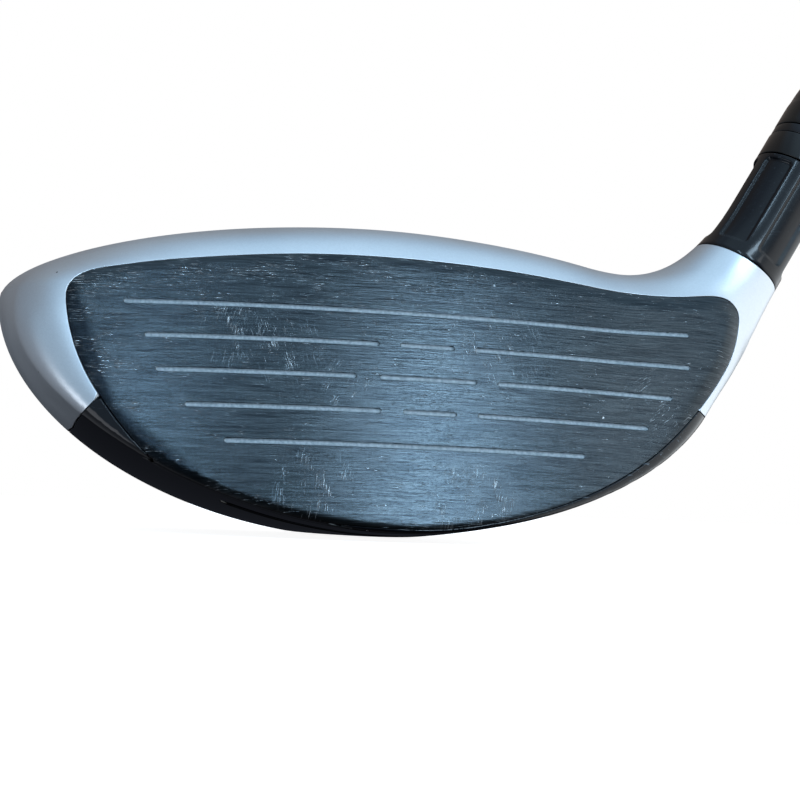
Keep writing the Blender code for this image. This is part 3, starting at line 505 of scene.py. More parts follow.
def sole_region(points):
    """Negative on the sole plate, which wraps up to the face's lower edge."""
    x, y, z = points.T
    heel_rise = 0.18 * np.maximum(-2.0 - y, 0.0) + 0.45 * np.maximum(-11.0 - y, 0.0) ** 2
    corner = np.clip(1.1 * (x - SOLE_CORNER_X), 0.0, 2.2) * smooth_step(-y, 9.0, 11.0)
    toe_rise = 0.0555 * np.maximum(7.0 - y, 0.0) + corner
    limit = SOLE_LINE_HEIGHT + SOLE_LINE_TILT * x + np.where(x < 0.0, toe_rise, heel_rise)
    return np.maximum(z - limit, -face_region(points))


def slot_region(points):
    """Negative on the long slot that runs across the sole behind the leading edge."""
    x, y, z = points.T
    line_y = SLOT_Y + x * x / (2 * FACE_BULGE_RADIUS)
    past_end = np.maximum(np.abs(x) - SLOT_HALF_LENGTH, 0.0)
    return np.maximum(np.hypot(past_end, y - line_y) - SLOT_HALF_WIDTH, z - 12.0)


def port_region(points):
    x, y, z = points.T
    return np.maximum(np.hypot(x - PORT_CENTRE[0], y - PORT_CENTRE[1]) - PORT_RADIUS, z - 16.0)


# --- objects -------------------------------------------------------------------------------------
def finish_piece(piece, node, body="club"):
    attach(piece, body)
    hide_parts(node)


def add_mesh(name, points, faces, materials, face_material=None, plain_normals=None, uv=None,
             sharp_angle=None):
    """Mesh object from millimetre points.

    plain_normals is a pair: which points are plain surface, and the true normals of all points.
    uv holds one pair of numbers per face corner."""
    mesh = bpy.data.meshes.new(name)
    mesh.from_pydata((np.asarray(points) * METRE).tolist(), [], faces)
    for material in materials:
        mesh.materials.append(material)
    if face_material is not None:
        mesh.polygons.foreach_set("material_index", np.asarray(face_material, np.int32))
    if uv is not None:
        layer = mesh.uv_layers.new(name="UVMap")
        layer.data.foreach_set("uv", (np.asarray(uv) * METRE).astype(np.float32).ravel())
    mesh.shade_smooth()
    if sharp_angle is not None:
        form = bmesh.new()
        form.from_mesh(mesh)
        bmesh.ops.remove_doubles(form, verts=form.verts, dist=5e-7)
        bmesh.ops.recalc_face_normals(form, faces=form.faces)
        form.to_mesh(mesh)
        form.free()
        mesh.set_sharp_from_angle(angle=math.radians(sharp_angle))
    if plain_normals is not None:
        plain, true_normals = plain_normals
        normals = np.zeros(len(mesh.vertices) * 3, np.float32)
        mesh.vertices.foreach_get("normal", normals)
        normals = normals.reshape(-1, 3)
        normals[:len(plain)][plain] = true_normals[plain]
        mesh.normals_split_custom_set_from_vertices(normals.tolist())
    piece = bpy.data.objects.new(name, mesh)
    bpy.context.scene.collection.objects.link(piece)
    return piece


def rounded(profile, radius, steps=4, closed=True):
    """Profile of (along, radius) pairs with each corner turned into a small arc."""
    profile = [np.array(p, float) for p in profile]
    count = len(profile)
    result = []
    for i, corner in enumerate(profile):
        before, after = profile[i - 1] - corner, profile[(i + 1) % count] - corner
        reach = min(radius, 0.45 * np.linalg.norm(before), 0.45 * np.linalg.norm(after))
        at_end = not closed and i in (0, count - 1)
        if at_end or corner[1] == 0.0 or reach < 1e-4:
            result.append(corner)
            continue
        start = corner + before / np.linalg.norm(before) * reach
        end = corner + after / np.linalg.norm(after) * reach
        for k in range(steps + 1):
            t = k / steps
            result.append(start * (1 - t) ** 2 + corner * 2 * t * (1 - t) + end * t * t)
    return result


def lathe(profile, angles, place, rule=None):
    """Turned body with its unrolled coordinates.

    A profile that starts and ends on the axis is capped there; any other one closes on itself.
    The rule may move each (along, angle, radius) of the dense grid."""
    profile = np.array(profile, float)
    angles = np.asarray(angles, float)
    rows, count = len(profile), len(angles)
    along = np.repeat(profile[:, :1], count, axis=1)
    radius = np.repeat(profile[:, 1:], count, axis=1)
    turn = np.repeat(angles[None], rows, axis=0)
    if rule is not None:
        along, radius = rule(along, turn, radius)
    points = place(along, radius * np.cos(turn), radius * np.sin(turn)).reshape(-1, 3)
    travel = np.concatenate([[0.0], np.cumsum(np.hypot(*np.diff(profile, axis=0).T))])
    middle_radius = profile[:, 1].max()
    number = np.arange(rows * count).reshape(rows, count)
    number[profile[:, 1] == 0.0] = number[profile[:, 1] == 0.0][:, :1]
    last = rows if profile[0, 1] > 0 else rows - 1
    full_turn = np.append(angles, angles[0] + 2 * math.pi) * middle_radius
    faces, uv = [], []
    for i in range(last):
        j = (i + 1) % rows
        end = travel[j] if j else travel[-1] + 1.0
        for k in range(count):
            m = (k + 1) % count
            corners = ((number[i, k], full_turn[k], travel[i]), (number[i, m], full_turn[k + 1], travel[i]),
                       (number[j, m], full_turn[k + 1], end), (number[j, k], full_turn[k], end))
            kept = [c for n, c in enumerate(corners) if c[0] != corners[n - 1][0]]
            faces.append(tuple(int(c[0]) for c in kept))
            uv += [(c[1], c[2]) for c in kept]
    return points, faces, uv


def even_angles(count):
    return np.arange(count) * 2 * math.pi / count


def add_turned(name, node, material, profile, angles, place, rule=None, sharp=40.0, body="club"):
    points, faces, uv = lathe(profile, angles, place, rule)
    piece = add_mesh(name, points, faces, [material], uv=uv, sharp_angle=sharp)
    finish_piece(piece, node, body)


# --- head pieces ---------------------------------------------------------------------------------
def head_surface():
    points, triangles = surface_net((-62.0, -26.0, -2.6), (66.0, 70.0, 58.0), SURFACE_CELL)
    points = relax(settle(points), triangles)
    return refine(points, triangles, allowed_edge)


def allowed_edge(points):
    """Longest edge allowed: short round the neck and along the rounded leading edge."""
    along, side, back = shaft_coordinates(points)
    near_neck = (np.hypot(side, back) < 14.0) & (along > 20.0)
    at_lip = (points[:, 2] < 6.0) & (points[:, 1] < -14.0)
    return np.where(at_lip, EDGE_AT_SOLE_LIP, np.where(near_neck, EDGE_AT_NECK, 99.0))


def skin_piece(name, slot, looks, base, rules, rounding, sink=0.0):
    """Thin solid under the part of the head where every rule is positive, its rim rounded over."""
    points, triangles = base
    for rule in rules:
        points, triangles, side = score(points, triangles, rule(points) - PANEL_GAP)
        points, triangles = drop_loose(points, triangles[side > 0])
    margin = np.min([rule(points) for rule in rules], axis=0) - PANEL_GAP
    margin[np.unique(rim_edges(triangles))] = 0.0
    rows = np.hstack([points, np.maximum(margin, 0.0)[:, None]])
    rows, triangles = round_rim(rows, triangles, rounding)
    points = settle(rows[:, :3], rounds=2)
    depth = rim_depth(rows[:, 3], rounding)
    true_normals = outward(points)
    solid, faces = shell(points, triangles, depth + sink, outward(points, 4.0), SKIN_THICKNESS + sink)
    piece = add_mesh(name, solid, faces, [looks[slot]], plain_normals=(depth < 1e-6, true_normals))
    finish_piece(piece, name.removesuffix("_skin"))


def build_skins(looks, base):
    """Painted body, crown panel, sole plate and slot insert."""

    def on_crown(p):
        return -crown_region(p)

    def on_sole(p):
        return -sole_region(p)

    def in_slot(p):
        return -slot_region(p)

    def below_sleeve(p):
        return SLEEVE_START - shaft_coordinates(p)[0]

    skin_piece("head_body_skin", "silver_paint", looks, base,
               [face_region, crown_region, sole_region, below_sleeve], FRAME_ROUNDING)
    skin_piece("crown_panel_skin", "carbon", looks, base, [on_crown, below_sleeve], PANEL_ROUNDING)
    skin_piece("sole_plate_skin", "gloss_black", looks, base,
               [on_sole, slot_region, port_region], PANEL_ROUNDING)
    skin_piece("slot_insert_skin", "slot_rubber", looks, base, [on_sole, in_slot], PANEL_ROUNDING,
               sink=SLOT_SINK)


def groove_offset(flat):
    """Distance from the nearest score line's edge, negative inside it."""
    nearest = np.full(len(flat), 99.0)
    for row, left, right in SCORE_LINES:
        up = GROOVE_TOP - row * GROOVE_SPACING
        past = np.maximum(np.maximum(left + GROOVE_HALF_WIDTH - flat[:, 0],
                                     flat[:, 0] - right + GROOVE_HALF_WIDTH), 0.0)
        nearest = np.minimum(nearest, np.hypot(past, flat[:, 1] - up) - GROOVE_HALF_WIDTH)
    return nearest


def near_groove_end(points):
    """Longest edge allowed on the face: short round the ends of the score lines."""
    flat = flat_coordinates(points)
    limit = np.full(len(flat), EDGE_ON_FACE)
    for row, left, right in SCORE_LINES:
        up = GROOVE_TOP - row * GROOVE_SPACING
        for end in (left + GROOVE_HALF_WIDTH, right - GROOVE_HALF_WIDTH):
            limit[np.hypot(flat[:, 0] - end, flat[:, 1] - up) < 0.6] = EDGE_AT_GROOVE_END
    return limit


def face_normals(points, margin):
    """The head's own normals, evened out to the milled sphere below the neck."""
    milled = field_gradient(face_field, points)
    milled /= np.linalg.norm(milled, axis=1)[:, None]
    share = smooth_step(margin, 0.6, 3.2) * smooth_step(points[:, 0], 18.0, 26.0)
    mixed = outward(points) * (1.0 - share[:, None]) + milled * share[:, None]
    return mixed / np.linalg.norm(mixed, axis=1)[:, None]


def build_face(looks, base):
    """Striking plate with its score lines cut in and its rim rounded over."""
    points, triangles = base
    points, triangles, side = score(points, triangles, face_region(points) + PANEL_GAP)
    points, triangles = drop_loose(points, triangles[side < 0])

    for row in range(5):
        middle_line = flat_coordinates(points)[:, 1] - GROOVE_TOP + row * GROOVE_SPACING
        points, triangles, _ = score(points, triangles, middle_line)
    for _ in range(3):
        points, triangles = refine(points, triangles, near_groove_end)
    margin = np.maximum(-face_region(points) - PANEL_GAP, 0.0)
    margin[np.unique(rim_edges(triangles))] = 0.0
    groove = groove_offset(flat_coordinates(points))
    rows = np.hstack([points, margin[:, None], groove[:, None]])
    rows, triangles = round_rim(rows, triangles, FACE_ROUNDING)
    for offset in GROOVE_OFFSETS:
        rows, triangles, _ = score(rows, triangles, rows[:, 4] - offset)
    points = settle(rows[:, :3], rounds=2)
    depth = rim_depth(rows[:, 3], FACE_ROUNDING)
    depth = np.maximum(depth, np.interp(rows[:, 4], GROOVE_OFFSETS[::-1], GROOVE_DEPTHS[::-1]))
    in_groove = rows[triangles, 4].mean(axis=1) < PAINTED_TO
    solid, faces = shell(points, triangles, depth, outward(points, 4.0), SKIN_THICKNESS)
    kind = np.zeros(len(faces), np.int32)
    kind[:len(triangles)][in_groove] = 1
    flat = np.concatenate([flat_coordinates(points)] * 2)
    uv = flat[np.concatenate([np.array(f) for f in faces])]
    piece = add_mesh("face_plate_fine", solid, faces, [looks["face_steel"], looks["groove_paint"]],
                     face_material=kind, plain_normals=(depth < 1e-6, face_normals(points, rows[:, 3])),
                     uv=uv)
    finish_piece(piece, "face_plate")


# --- hosel, shaft and grip -----------------------------------------------------------------------
def neck_radius(along, angle):
    """Radius of the head's own form round the neck."""
    radius = np.full(along.shape, HOSEL_RADIUS)
    for _ in range(14):
        spot = shaft_point(along, radius * np.cos(angle), radius * np.sin(angle))
        radius = radius - 0.9 * head_field(spot.reshape(-1, 3)).reshape(radius.shape)
    return radius


def flute_depth(along, angle):
    """Depth of the long shallow windows, which have rounded corners and steep walls."""
    pitch = 2 * math.pi / FLUTE_COUNT
    offset = (angle - FLUTE_FIRST_ANGLE + pitch / 2) % pitch - pitch / 2
    half_width = FLUTE_HALF_ANGLE * HOSEL_RADIUS
    half_length = (FLUTE_END - FLUTE_START) / 2
    middle = (FLUTE_END + FLUTE_START) / 2
    over = np.abs(offset) * HOSEL_RADIUS - half_width + FLUTE_CORNER
    past = np.abs(along - middle) - half_length + FLUTE_CORNER
    outside = np.hypot(np.maximum(over, 0.0), np.maximum(past, 0.0))
    distance = outside + np.minimum(np.maximum(over, past), 0.0) - FLUTE_CORNER
    return FLUTE_DEPTH * smooth_step(-distance, -0.10, 0.32)


def build_hosel(looks):
    low, high = SLEEVE_START + PANEL_GAP, SLEEVE_END - 0.12
    edge_steps = np.arange(-0.3, 1.25, 0.11)
    stations = np.concatenate([
        np.linspace(low + 0.12, FLUTE_START - 0.45, 4), FLUTE_START + edge_steps,
        np.linspace(FLUTE_START + 1.5, FLUTE_END - 1.5, 8), FLUTE_END - edge_steps[::-1],
        np.linspace(FLUTE_END + 0.45, high - 0.15, 3)])
    profile = [(low, HOSEL_RADIUS - 0.12), (low + 0.04, HOSEL_RADIUS - 0.04)]
    profile += [(s, HOSEL_RADIUS) for s in stations]
    profile += [(high - 0.05, HOSEL_RADIUS - 0.05), (high, HOSEL_RADIUS - 0.15)]
    profile += [(high, SLEEVE_BORE_RADIUS), (low, SLEEVE_BORE_RADIUS)]

    def rule(along, angle, radius):
        outer = radius > SLEEVE_BORE_RADIUS + 0.2
        shaped = neck_radius(along, angle) - (HOSEL_RADIUS - radius) - flute_depth(along, angle)
        return along, np.where(outer, shaped, radius)

    add_turned("hosel_sleeve_fine", "hosel_sleeve", looks["hosel_black"],
               profile, even_angles(360), shaft_point, rule, sharp=50.0)


def shaft_radius(along):
    butt = CLUB_LENGTH - GRIP_CAP_THICKNESS
    t = np.maximum(0.0, along - TIP_PARALLEL_END) / (butt - TIP_PARALLEL_END)
    return SHAFT_TIP_RADIUS + (SHAFT_BUTT_RADIUS - SHAFT_TIP_RADIUS) * t ** 0.9


def build_shaft(looks):
    stations = np.concatenate([[SHAFT_TIP_START, 66.0], np.linspace(80.0, CLUB_LENGTH - 4.0, 90)])
    outer = [(s, float(shaft_radius(s))) for s in stations]
    inner = [(s, float(shaft_radius(s)) - 1.0) for s in stations[::-6]]
    add_turned("shaft_fine", "shaft", looks["shaft_paint"],
               rounded(outer + inner, 0.2, 2), even_angles(72), shaft_point)


def build_ferrule(looks):
    start = SLEEVE_END + 0.08
    bore = SHAFT_TIP_RADIUS + 0.1
    collar_end = SLEEVE_END + 3.95
    collar = [(start, HOSEL_RADIUS - 0.02), (collar_end, HOSEL_RADIUS), (collar_end, bore), (start, bore)]
    add_turned("ferrule_collar_fine", "ferrule_collar",
               looks["ferrule_plastic"], rounded(collar, 0.16), even_angles(144), shaft_point)
    ring_start, ring_end = collar_end + 0.1, collar_end + 1.6
    ring = [(ring_start, HOSEL_RADIUS - 0.08), (ring_end, HOSEL_RADIUS - 0.08), (ring_end, bore),
            (ring_start, bore)]
    add_turned("ferrule_trim_fine", "ferrule_trim_ring",
               looks["trim_metal"], rounded(ring, 0.2), even_angles(144), shaft_point)
    first, end = ring_end + 0.1, SLEEVE_END + 0.15 + FERRULE_LENGTH
    outer = [(first, HOSEL_RADIUS - 0.05)]
    for s in np.linspace(first + 1.0, end, 26):
        t = smooth_step((s - first) / (end - first), 0.12, 1.06)
        ridge = 0.1 * math.exp(-((s - first - 5.0) / 0.35) ** 2)
        outer.append((s, HOSEL_RADIUS - 0.05 - (HOSEL_RADIUS - 4.72) * t - ridge))
    body = outer + [(end, bore), (first, bore)]
    add_turned("ferrule_fine", "ferrule", looks["ferrule_plastic"],
               rounded(body, 0.15, 3), even_angles(144), shaft_point, sharp=60.0)


def grip_radius(along):
    t = (along - CLUB_LENGTH + GRIP_LENGTH) / GRIP_LENGTH
    return GRIP_MOUTH_RADIUS + (GRIP_BUTT_RADIUS - GRIP_MOUTH_RADIUS) * (0.72 * t + 0.28 * t ** 3)


def build_grip(looks):
    """Rubber grip with rows of slanted recesses, ring grooves at the mouth, and its capped end."""
    start, cap_start = CLUB_LENGTH - GRIP_LENGTH, CLUB_LENGTH - GRIP_CAP_THICKNESS
    rows = 440
    stations = np.linspace(start + 1.4, cap_start - 0.3, rows)
    outer = [(start, GRIP_MOUTH_RADIUS - 0.9), (start + 0.1, GRIP_MOUTH_RADIUS - 0.5),
             (start + 0.5, GRIP_MOUTH_RADIUS - 0.1)]
    outer += [(s, float(grip_radius(s))) for s in stations]
    inner = [(s, float(shaft_radius(s)) + 0.5) for s in (cap_start - 0.3, start + 175.0, start)]

    def rule(along, angle, radius):
        outside = radius > shaft_radius(along) + 0.9
        travel = (along - start) / GRIP_ROW_PITCH
        row = np.floor(travel)
        across = (angle / (2 * math.pi) * GRIP_RECESSES_ROUND + 0.5 * (row % 2)) % 1.0 - 0.5
        level = travel - row - 0.5
        lean = across + np.where(row % 2 == 0, GRIP_RECESS_LEAN, -GRIP_RECESS_LEAN) * level
        recess = smooth_step(0.34 - np.maximum(np.abs(lean) * 1.15, np.abs(level) * 0.95), -0.03, 0.09)
        window = smooth_step(along, start + 12.0, start + 13.0)
        window *= smooth_step(cap_start - along, 14.0, 15.0)
        ring_offset = (along - start) % GRIP_RING_PITCH - GRIP_RING_PITCH / 2
        rings = smooth_step(0.30 - np.abs(ring_offset), 0.0, 0.16)
        near_mouth = (smooth_step(start + 10.0 - along, 0.0, 0.5)
                      * smooth_step(along, start + 2.4, start + 3.0))
        bands = smooth_step(0.35 - np.abs(np.abs(cap_start - 9.0 - along) - 3.0), 0.0, 0.16)
        cut = GRIP_RECESS_DEPTH * recess * window + GRIP_RING_DEPTH * (rings * near_mouth + bands)
        return along, np.where(outside, radius - cut, radius)

    add_turned("grip_fine", "grip", looks["grip_rubber"],
               outer + inner, even_angles(160), shaft_point, rule, sharp=60.0)

    top = float(grip_radius(cap_start))
    end = CLUB_LENGTH
    cap = [(cap_start, 0.0), (cap_start, top - 0.3), (cap_start + 0.3, top + 0.02), (end - 1.7, top + 0.12)]
    cap += [(end - 1.7 + 1.7 * math.sin(a), top - 1.6 + 1.7 * math.cos(a))
            for a in (math.pi / 2 * k / 6 for k in range(1, 7))]
    cap += [(end, 9.6), (end - 0.12, 9.4), (end - 0.35, 9.2), (end - 0.35, 8.7), (end - 0.12, 8.5),
            (end, 8.3), (end, 2.1), (end - 0.1, 1.8), (end - 0.4, 1.6), (end - 2.4, 1.5), (end - 2.4, 0.0)]
    add_turned("grip_cap_fine", "grip_end_cap", looks["cap_rubber"],
               cap, even_angles(128), shaft_point, sharp=50.0)


# --- sole weight ---------------------------------------------------------------------------------
def build_weight(looks):
    """Boss ring and swing weight, whose face has a lobed recess and a ring of fine knurling."""
    seat = settle(np.array([[PORT_CENTRE[0], PORT_CENTRE[1], 4.0]]), rounds=20)
    normal = outward(seat)[0]
    seat = seat[0]
    side = np.cross(normal, [0.0, 1.0, 0.0])
    side /= np.linalg.norm(side)
    other = np.cross(normal, side)

    def placement(along, a, b):
        return seat + along[..., None] * normal + a[..., None] * side + b[..., None] * other

    rim = PORT_RADIUS - 0.45
    boss = [(-12.0, 3.35), (-12.0, 7.9), (-1.0, 7.9), (-1.0, rim), (0.3, rim), (0.3, 6.3), (-4.2, 6.3),
            (-4.2, 3.35)]
    add_turned("weight_boss_fine", "weight_boss", looks["raw_steel"],
               rounded(boss, 0.3), even_angles(144), placement)

    screw = [(-11.0, 0.0), (-11.0, 2.5), (-10.5, SCREW_RADIUS), (-2.9, SCREW_RADIUS), (-2.9, 5.8),
             (0.0, 5.8), (0.0, 4.9), (-0.25, 4.8), (-0.25, 4.5), (0.0, 4.4), (0.0, 2.75),
             (-2.2, 2.55), (-2.2, 0.0)]

    def rule(along, angle, radius):
        recess = (radius < 3.1) & (along > -2.5) & (radius > 0)
        lobes = LOBE_HEIGHT * np.cos(LOBE_COUNT * angle)
        threads = (np.abs(radius - SCREW_RADIUS) < 0.02) & (along < -3.2)
        at_rim = (radius > 5.7) & (along > -2.2)
        knurl = KNURL_DEPTH * np.maximum(np.cos(KNURL_COUNT * angle), 0.0) * at_rim
        turned_in = THREAD_DEPTH * (0.5 + 0.5 * np.cos(2 * math.pi * along + angle)) * threads
        return along, radius + lobes * recess - turned_in - knurl

    add_turned("weight_screw_fine", "weight_screw", looks["weight_alloy"],
               rounded(screw, 0.22), even_angles(288), placement, rule, sharp=35.0, body="swing_weight")


# --- materials -----------------------------------------------------------------------------------
class Nodes:
    """Adds nodes to a tree; every input may be a number, a colour or another node's output."""

    def __init__(self, tree):
        self.tree = tree

    def set(self, node, socket, value):
        if isinstance(value, bpy.types.NodeSocket):
            self.tree.links.new(value, node.inputs[socket])
        elif node.inputs[socket].type == "RGBA":
            node.inputs[socket].default_value = (*value, 1.0)
        else:
            node.inputs[socket].default_value = value

    def node(self, kind, inputs=(), output=0, **settings):
        node = self.tree.nodes.new(kind)
        for name, value in settings.items():
            setattr(node, name, value)
        for socket, value in dict(inputs).items():
            self.set(node, socket, value)
        return node.outputs[output]

    def math(self, operation, a, b=0.0, c=0.0):
        return self.node("ShaderNodeMath", {0: a, 1: b, 2: c}, operation=operation)

    def place(self, scale=(1.0, 1.0, 1.0), turn=(0.0, 0.0, 0.0), source="Object"):
        """Coordinates in metres, stretched and turned."""
        start = self.node("ShaderNodeTexCoord", output={"Object": 3, "UV": 2}[source])
        return self.node("ShaderNodeMapping", {"Vector": start, "Scale": scale, "Rotation": turn})

    def noise(self, where, scale=1.0, detail=2.0, roughness=0.5):
        return self.node("ShaderNodeTexNoise",
                         {"Vector": where, "Scale": scale, "Detail": detail, "Roughness": roughness})

    def spots(self, where, scale=1.0):
        """Distance to the nearest of many scattered points."""
        return self.node("ShaderNodeTexVoronoi", {"Vector": where, "Scale": scale})

    def span(self, value, low, high, to_low=0.0, to_high=1.0):
        return self.node("ShaderNodeMapRange", {"Value": value, "From Min": low, "From Max": high,
                                                "To Min": to_low, "To Max": to_high})

    def mix(self, amount, a, b, blend="MIX"):
        return self.node("ShaderNodeMix", {0: amount, 6: a, 7: b}, output=2, data_type="RGBA",
                         blend_type=blend)

    def vectors(self, operation, a, b, output=0):
        return self.node("ShaderNodeVectorMath", {0: a, 1: b}, output, operation=operation)

    def parts(self, vector):
        return [self.node("ShaderNodeSeparateXYZ", {0: vector}, output=axis) for axis in range(3)]


class Look(Nodes):
    """One material, whose surface and bump are fed by the nodes added here."""

    def __init__(self, name, roughness, metallic=0.0, **sockets):
        self.material = bpy.data.materials.new(name)
        self.material.use_nodes = True
        super().__init__(self.material.node_tree)
        self.shader = self.tree.nodes["Principled BSDF"]
        for socket, value in {"Roughness": roughness, "Metallic": metallic, **sockets}.items():
            self.set(self.shader, socket.replace("_", " "), value)

    def colour(self, value):
        self.set(self.shader, "Base Color", value)

    def roughness(self, value):
        self.set(self.shader, "Roughness", value)

    def bump(self, height, distance, strength=1.0):
        result = self.node("ShaderNodeBump", {"Height": height, "Distance": distance, "Strength": strength})
        self.set(self.shader, "Normal", result)


def face_steel():
    """Dark satin finish with fine lengthwise brushing, pale glints painted on as highlights, nicks, a few
    scratches and painted shade along the toe rim.
    """
    look = Look("face_steel_brushed", 0.3, 0.9, Specular_IOR_Level=0.5)
    uv = look.node("ShaderNodeTexCoord", output=2)
    fine = look.noise(look.place((210.0, 4600.0, 1.0), source="UV"), detail=3.0, roughness=0.7)
    broad = look.noise(look.place((110.0, 1900.0, 1.0), source="UV"), detail=2.0)
    cloud = look.noise(look.place((45.0, 60.0, 1.0), source="UV"), detail=3.0)
    x, y, _ = look.parts(uv)
    streaks = look.math("ADD", look.math("MULTIPLY", fine, 0.65), look.math("MULTIPLY", broad, 0.35))
    base = look.mix(look.span(streaks, 0.36, 0.64), (0.016, 0.021, 0.026), (0.060, 0.074, 0.083))
    base = look.mix(look.span(cloud, 0.35, 0.75, 0.0, 0.35), base, (0.020, 0.027, 0.034))

    # Painted shade: the colour is darkened on the rolled rim, at the toe and along the lower toe corner.
    from_toe = look.math("MULTIPLY_ADD", y, 0.32, look.math("MULTIPLY_ADD", x, 0.95, 0.0404))
    from_corner = look.math("MULTIPLY_ADD", y, 0.767, look.math("MULTIPLY_ADD", x, 0.642, 0.0296))
    rim = look.span(look.math("MINIMUM", from_toe, from_corner), 0.0020, 0.0008, 0.0, 0.85)
    base = look.mix(rim, base, (0.003, 0.005, 0.008))

    # Painted highlights: short pale glints on the brushing, put into the colour, most of them near the
    # upper edge and near the toe.
    near_top = look.span(y, 0.007, 0.0145, 0.35, 1.0)
    near_top = look.math("MULTIPLY", near_top, look.span(x, 0.020, -0.010, 0.35, 1.0))
    near_toe = look.span(x, -0.030, -0.043, 0.35, 1.0)
    dense = look.math("MAXIMUM", near_top, near_toe)
    grain = look.noise(look.place((520.0, 7600.0, 1.0), source="UV"), detail=2.0, roughness=0.7)
    limit = look.span(dense, 0.0, 1.0, 0.665, 0.56)
    painted_glints = look.span(look.math("SUBTRACT", grain, limit), 0.0, 0.07)
    patchy = look.span(look.noise(look.place((150.0, 330.0, 1.0), source="UV")), 0.44, 0.60)
    glints_and_wear = look.math("MULTIPLY", painted_glints, patchy)

    # Scuffs: bundles of fine slanted lines in a few worn spots, with scattered nicks.
    scuffs = 0.0
    for (spot_x, spot_y), reach, lean, seed in WORN_SPOTS:
        away = look.vectors("DISTANCE", uv, (spot_x, spot_y, 0.0), output=1)
        leaning = look.node("ShaderNodeMapping", {0: uv, 2: (0.0, 0.0, lean)})
        thin = look.vectors("MULTIPLY", leaning, (6500.0, 420.0, 1.0))
        lines = look.noise(thin, detail=2.0, roughness=0.7)
        broken = look.noise(look.place((330.0 + seed, 240.0, 1.0), source="UV"), detail=3.0, roughness=0.6)
        hit = look.span(look.math("ADD", lines, look.math("MULTIPLY", broken, 0.7)), 0.97, 1.09)
        near = look.span(away, reach, reach * 0.4)
        scuffs = look.math("MAXIMUM", scuffs, look.math("MULTIPLY", hit, near))
    bent = look.node("ShaderNodeTexNoise", {"Vector": uv, "Scale": 4000.0}, output=1)
    jagged = look.vectors("ADD", look.vectors("MULTIPLY", bent, (0.22, 0.22, 0.0)),
                          look.place((260.0, 390.0, 1.0), source="UV"))
    nicks = look.span(look.spots(jagged), 0.075, 0.045)
    rare = look.span(look.noise(look.place((120.0, 150.0, 1.0), source="UV"), detail=0.0), 0.60, 0.66)
    nicks = look.math("MULTIPLY", nicks, rare)
    glints_and_wear = look.math("MAXIMUM", glints_and_wear, look.math("MULTIPLY", scuffs, 0.7))
    glints_and_wear = look.math("MAXIMUM", glints_and_wear, nicks)
    # Pale colour for the painted highlight glints and for the real scuffs and nicks.
    base = look.mix(glints_and_wear, base, (0.40, 0.43, 0.45))
    look.colour(base)
    uneven = look.math("MULTIPLY_ADD", cloud, 0.5, streaks)
    look.roughness(look.span(uneven, 0.4, 1.1, 0.13, 0.25))
    height = look.math("SUBTRACT", streaks, look.math("MULTIPLY", glints_and_wear, 0.8))
    look.bump(height, 0.00006, 0.8)
    return look.material


def groove_paint():
    look = Look("groove_paint", 0.55, 0.1)
    grain = look.noise(look.place((2600.0, 2600.0, 2600.0)), detail=3.0)
    look.colour(look.mix(look.span(grain, 0.35, 0.65), (0.20, 0.25, 0.28), (0.34, 0.39, 0.43)))
    look.bump(grain, 0.00004, 0.6)
    return look.material


def silver_paint():
    look = Look("silver_paint_flake", 0.36, 0.78, Coat_Weight=0.05, Coat_Roughness=0.25)
    flake = look.node("ShaderNodeTexVoronoi", {"Vector": look.place(), "Scale": 5200.0}, output=1)
    grey = look.math("MULTIPLY_ADD", look.parts(flake)[0], 0.10, 0.90)
    peel = look.noise(look.place(), 900.0, 2.0)
    cloud = look.noise(look.place(), 55.0, 3.0)
    base = look.mix(look.span(cloud, 0.3, 0.7), (0.60, 0.645, 0.69), (0.68, 0.72, 0.76))
    base = look.mix(grey, look.mix(1.0, base, (0.5, 0.5, 0.5), "MULTIPLY"), base)
    frayed = look.noise(look.place(), 2600.0)
    torn = look.math("MULTIPLY_ADD", frayed, 0.04, look.spots(look.place(), 130.0))
    chips = look.span(torn, 0.056, 0.048)
    rare = look.span(look.noise(look.place(), 60.0, 0.0), 0.60, 0.65)
    chips = look.math("MULTIPLY", chips, rare)
    for spot, reach in PAINT_CHIPS:
        away = look.vectors("DISTANCE", look.place(), spot, output=1)
        ragged = look.math("MULTIPLY_ADD", look.noise(look.place(), 2600.0), reach * 0.9, away)
        chips = look.math("MAXIMUM", chips, look.span(ragged, reach * 1.45, reach * 1.25))
    look.colour(look.mix(chips, base, (0.05, 0.047, 0.045)))
    look.roughness(look.span(look.math("ADD", cloud, chips), 0.3, 1.2, 0.31, 0.5))
    look.bump(look.math("SUBTRACT", peel, chips), 0.00001, 0.3)
    return look.material


def gloss_black(name, tint, roughness, level, wear):
    look = Look(name, roughness, 0.0, Specular_IOR_Level=level, Coat_Weight=0.15, Coat_Roughness=0.04)
    cloud = look.noise(look.place(), 70.0, 4.0)
    hairlines = look.noise(look.place((140.0, 2600.0, 2600.0), (0.0, 0.1, 0.25)), 1.0, 2.0, 0.6)
    scuffs = look.span(hairlines, 0.62, 0.70)
    patch = look.span(look.noise(look.place(), 40.0, 2.0), 0.48, 0.66)
    scuffs = look.math("MULTIPLY", look.math("MULTIPLY", scuffs, patch), wear)
    base = look.mix(look.span(cloud, 0.35, 0.7), tint, tuple(t * 1.8 for t in tint))
    look.colour(look.mix(look.math("MULTIPLY", scuffs, 0.5), base, (0.20, 0.24, 0.28)))
    worn = look.math("MAXIMUM", look.span(cloud, 0.35, 0.9, 0.0, 0.5), scuffs)
    look.roughness(look.span(worn, 0.0, 1.0, roughness, roughness + 0.22))
    look.bump(look.noise(look.place(), 700.0, 2.0), 0.000008, 0.3)
    return look.material


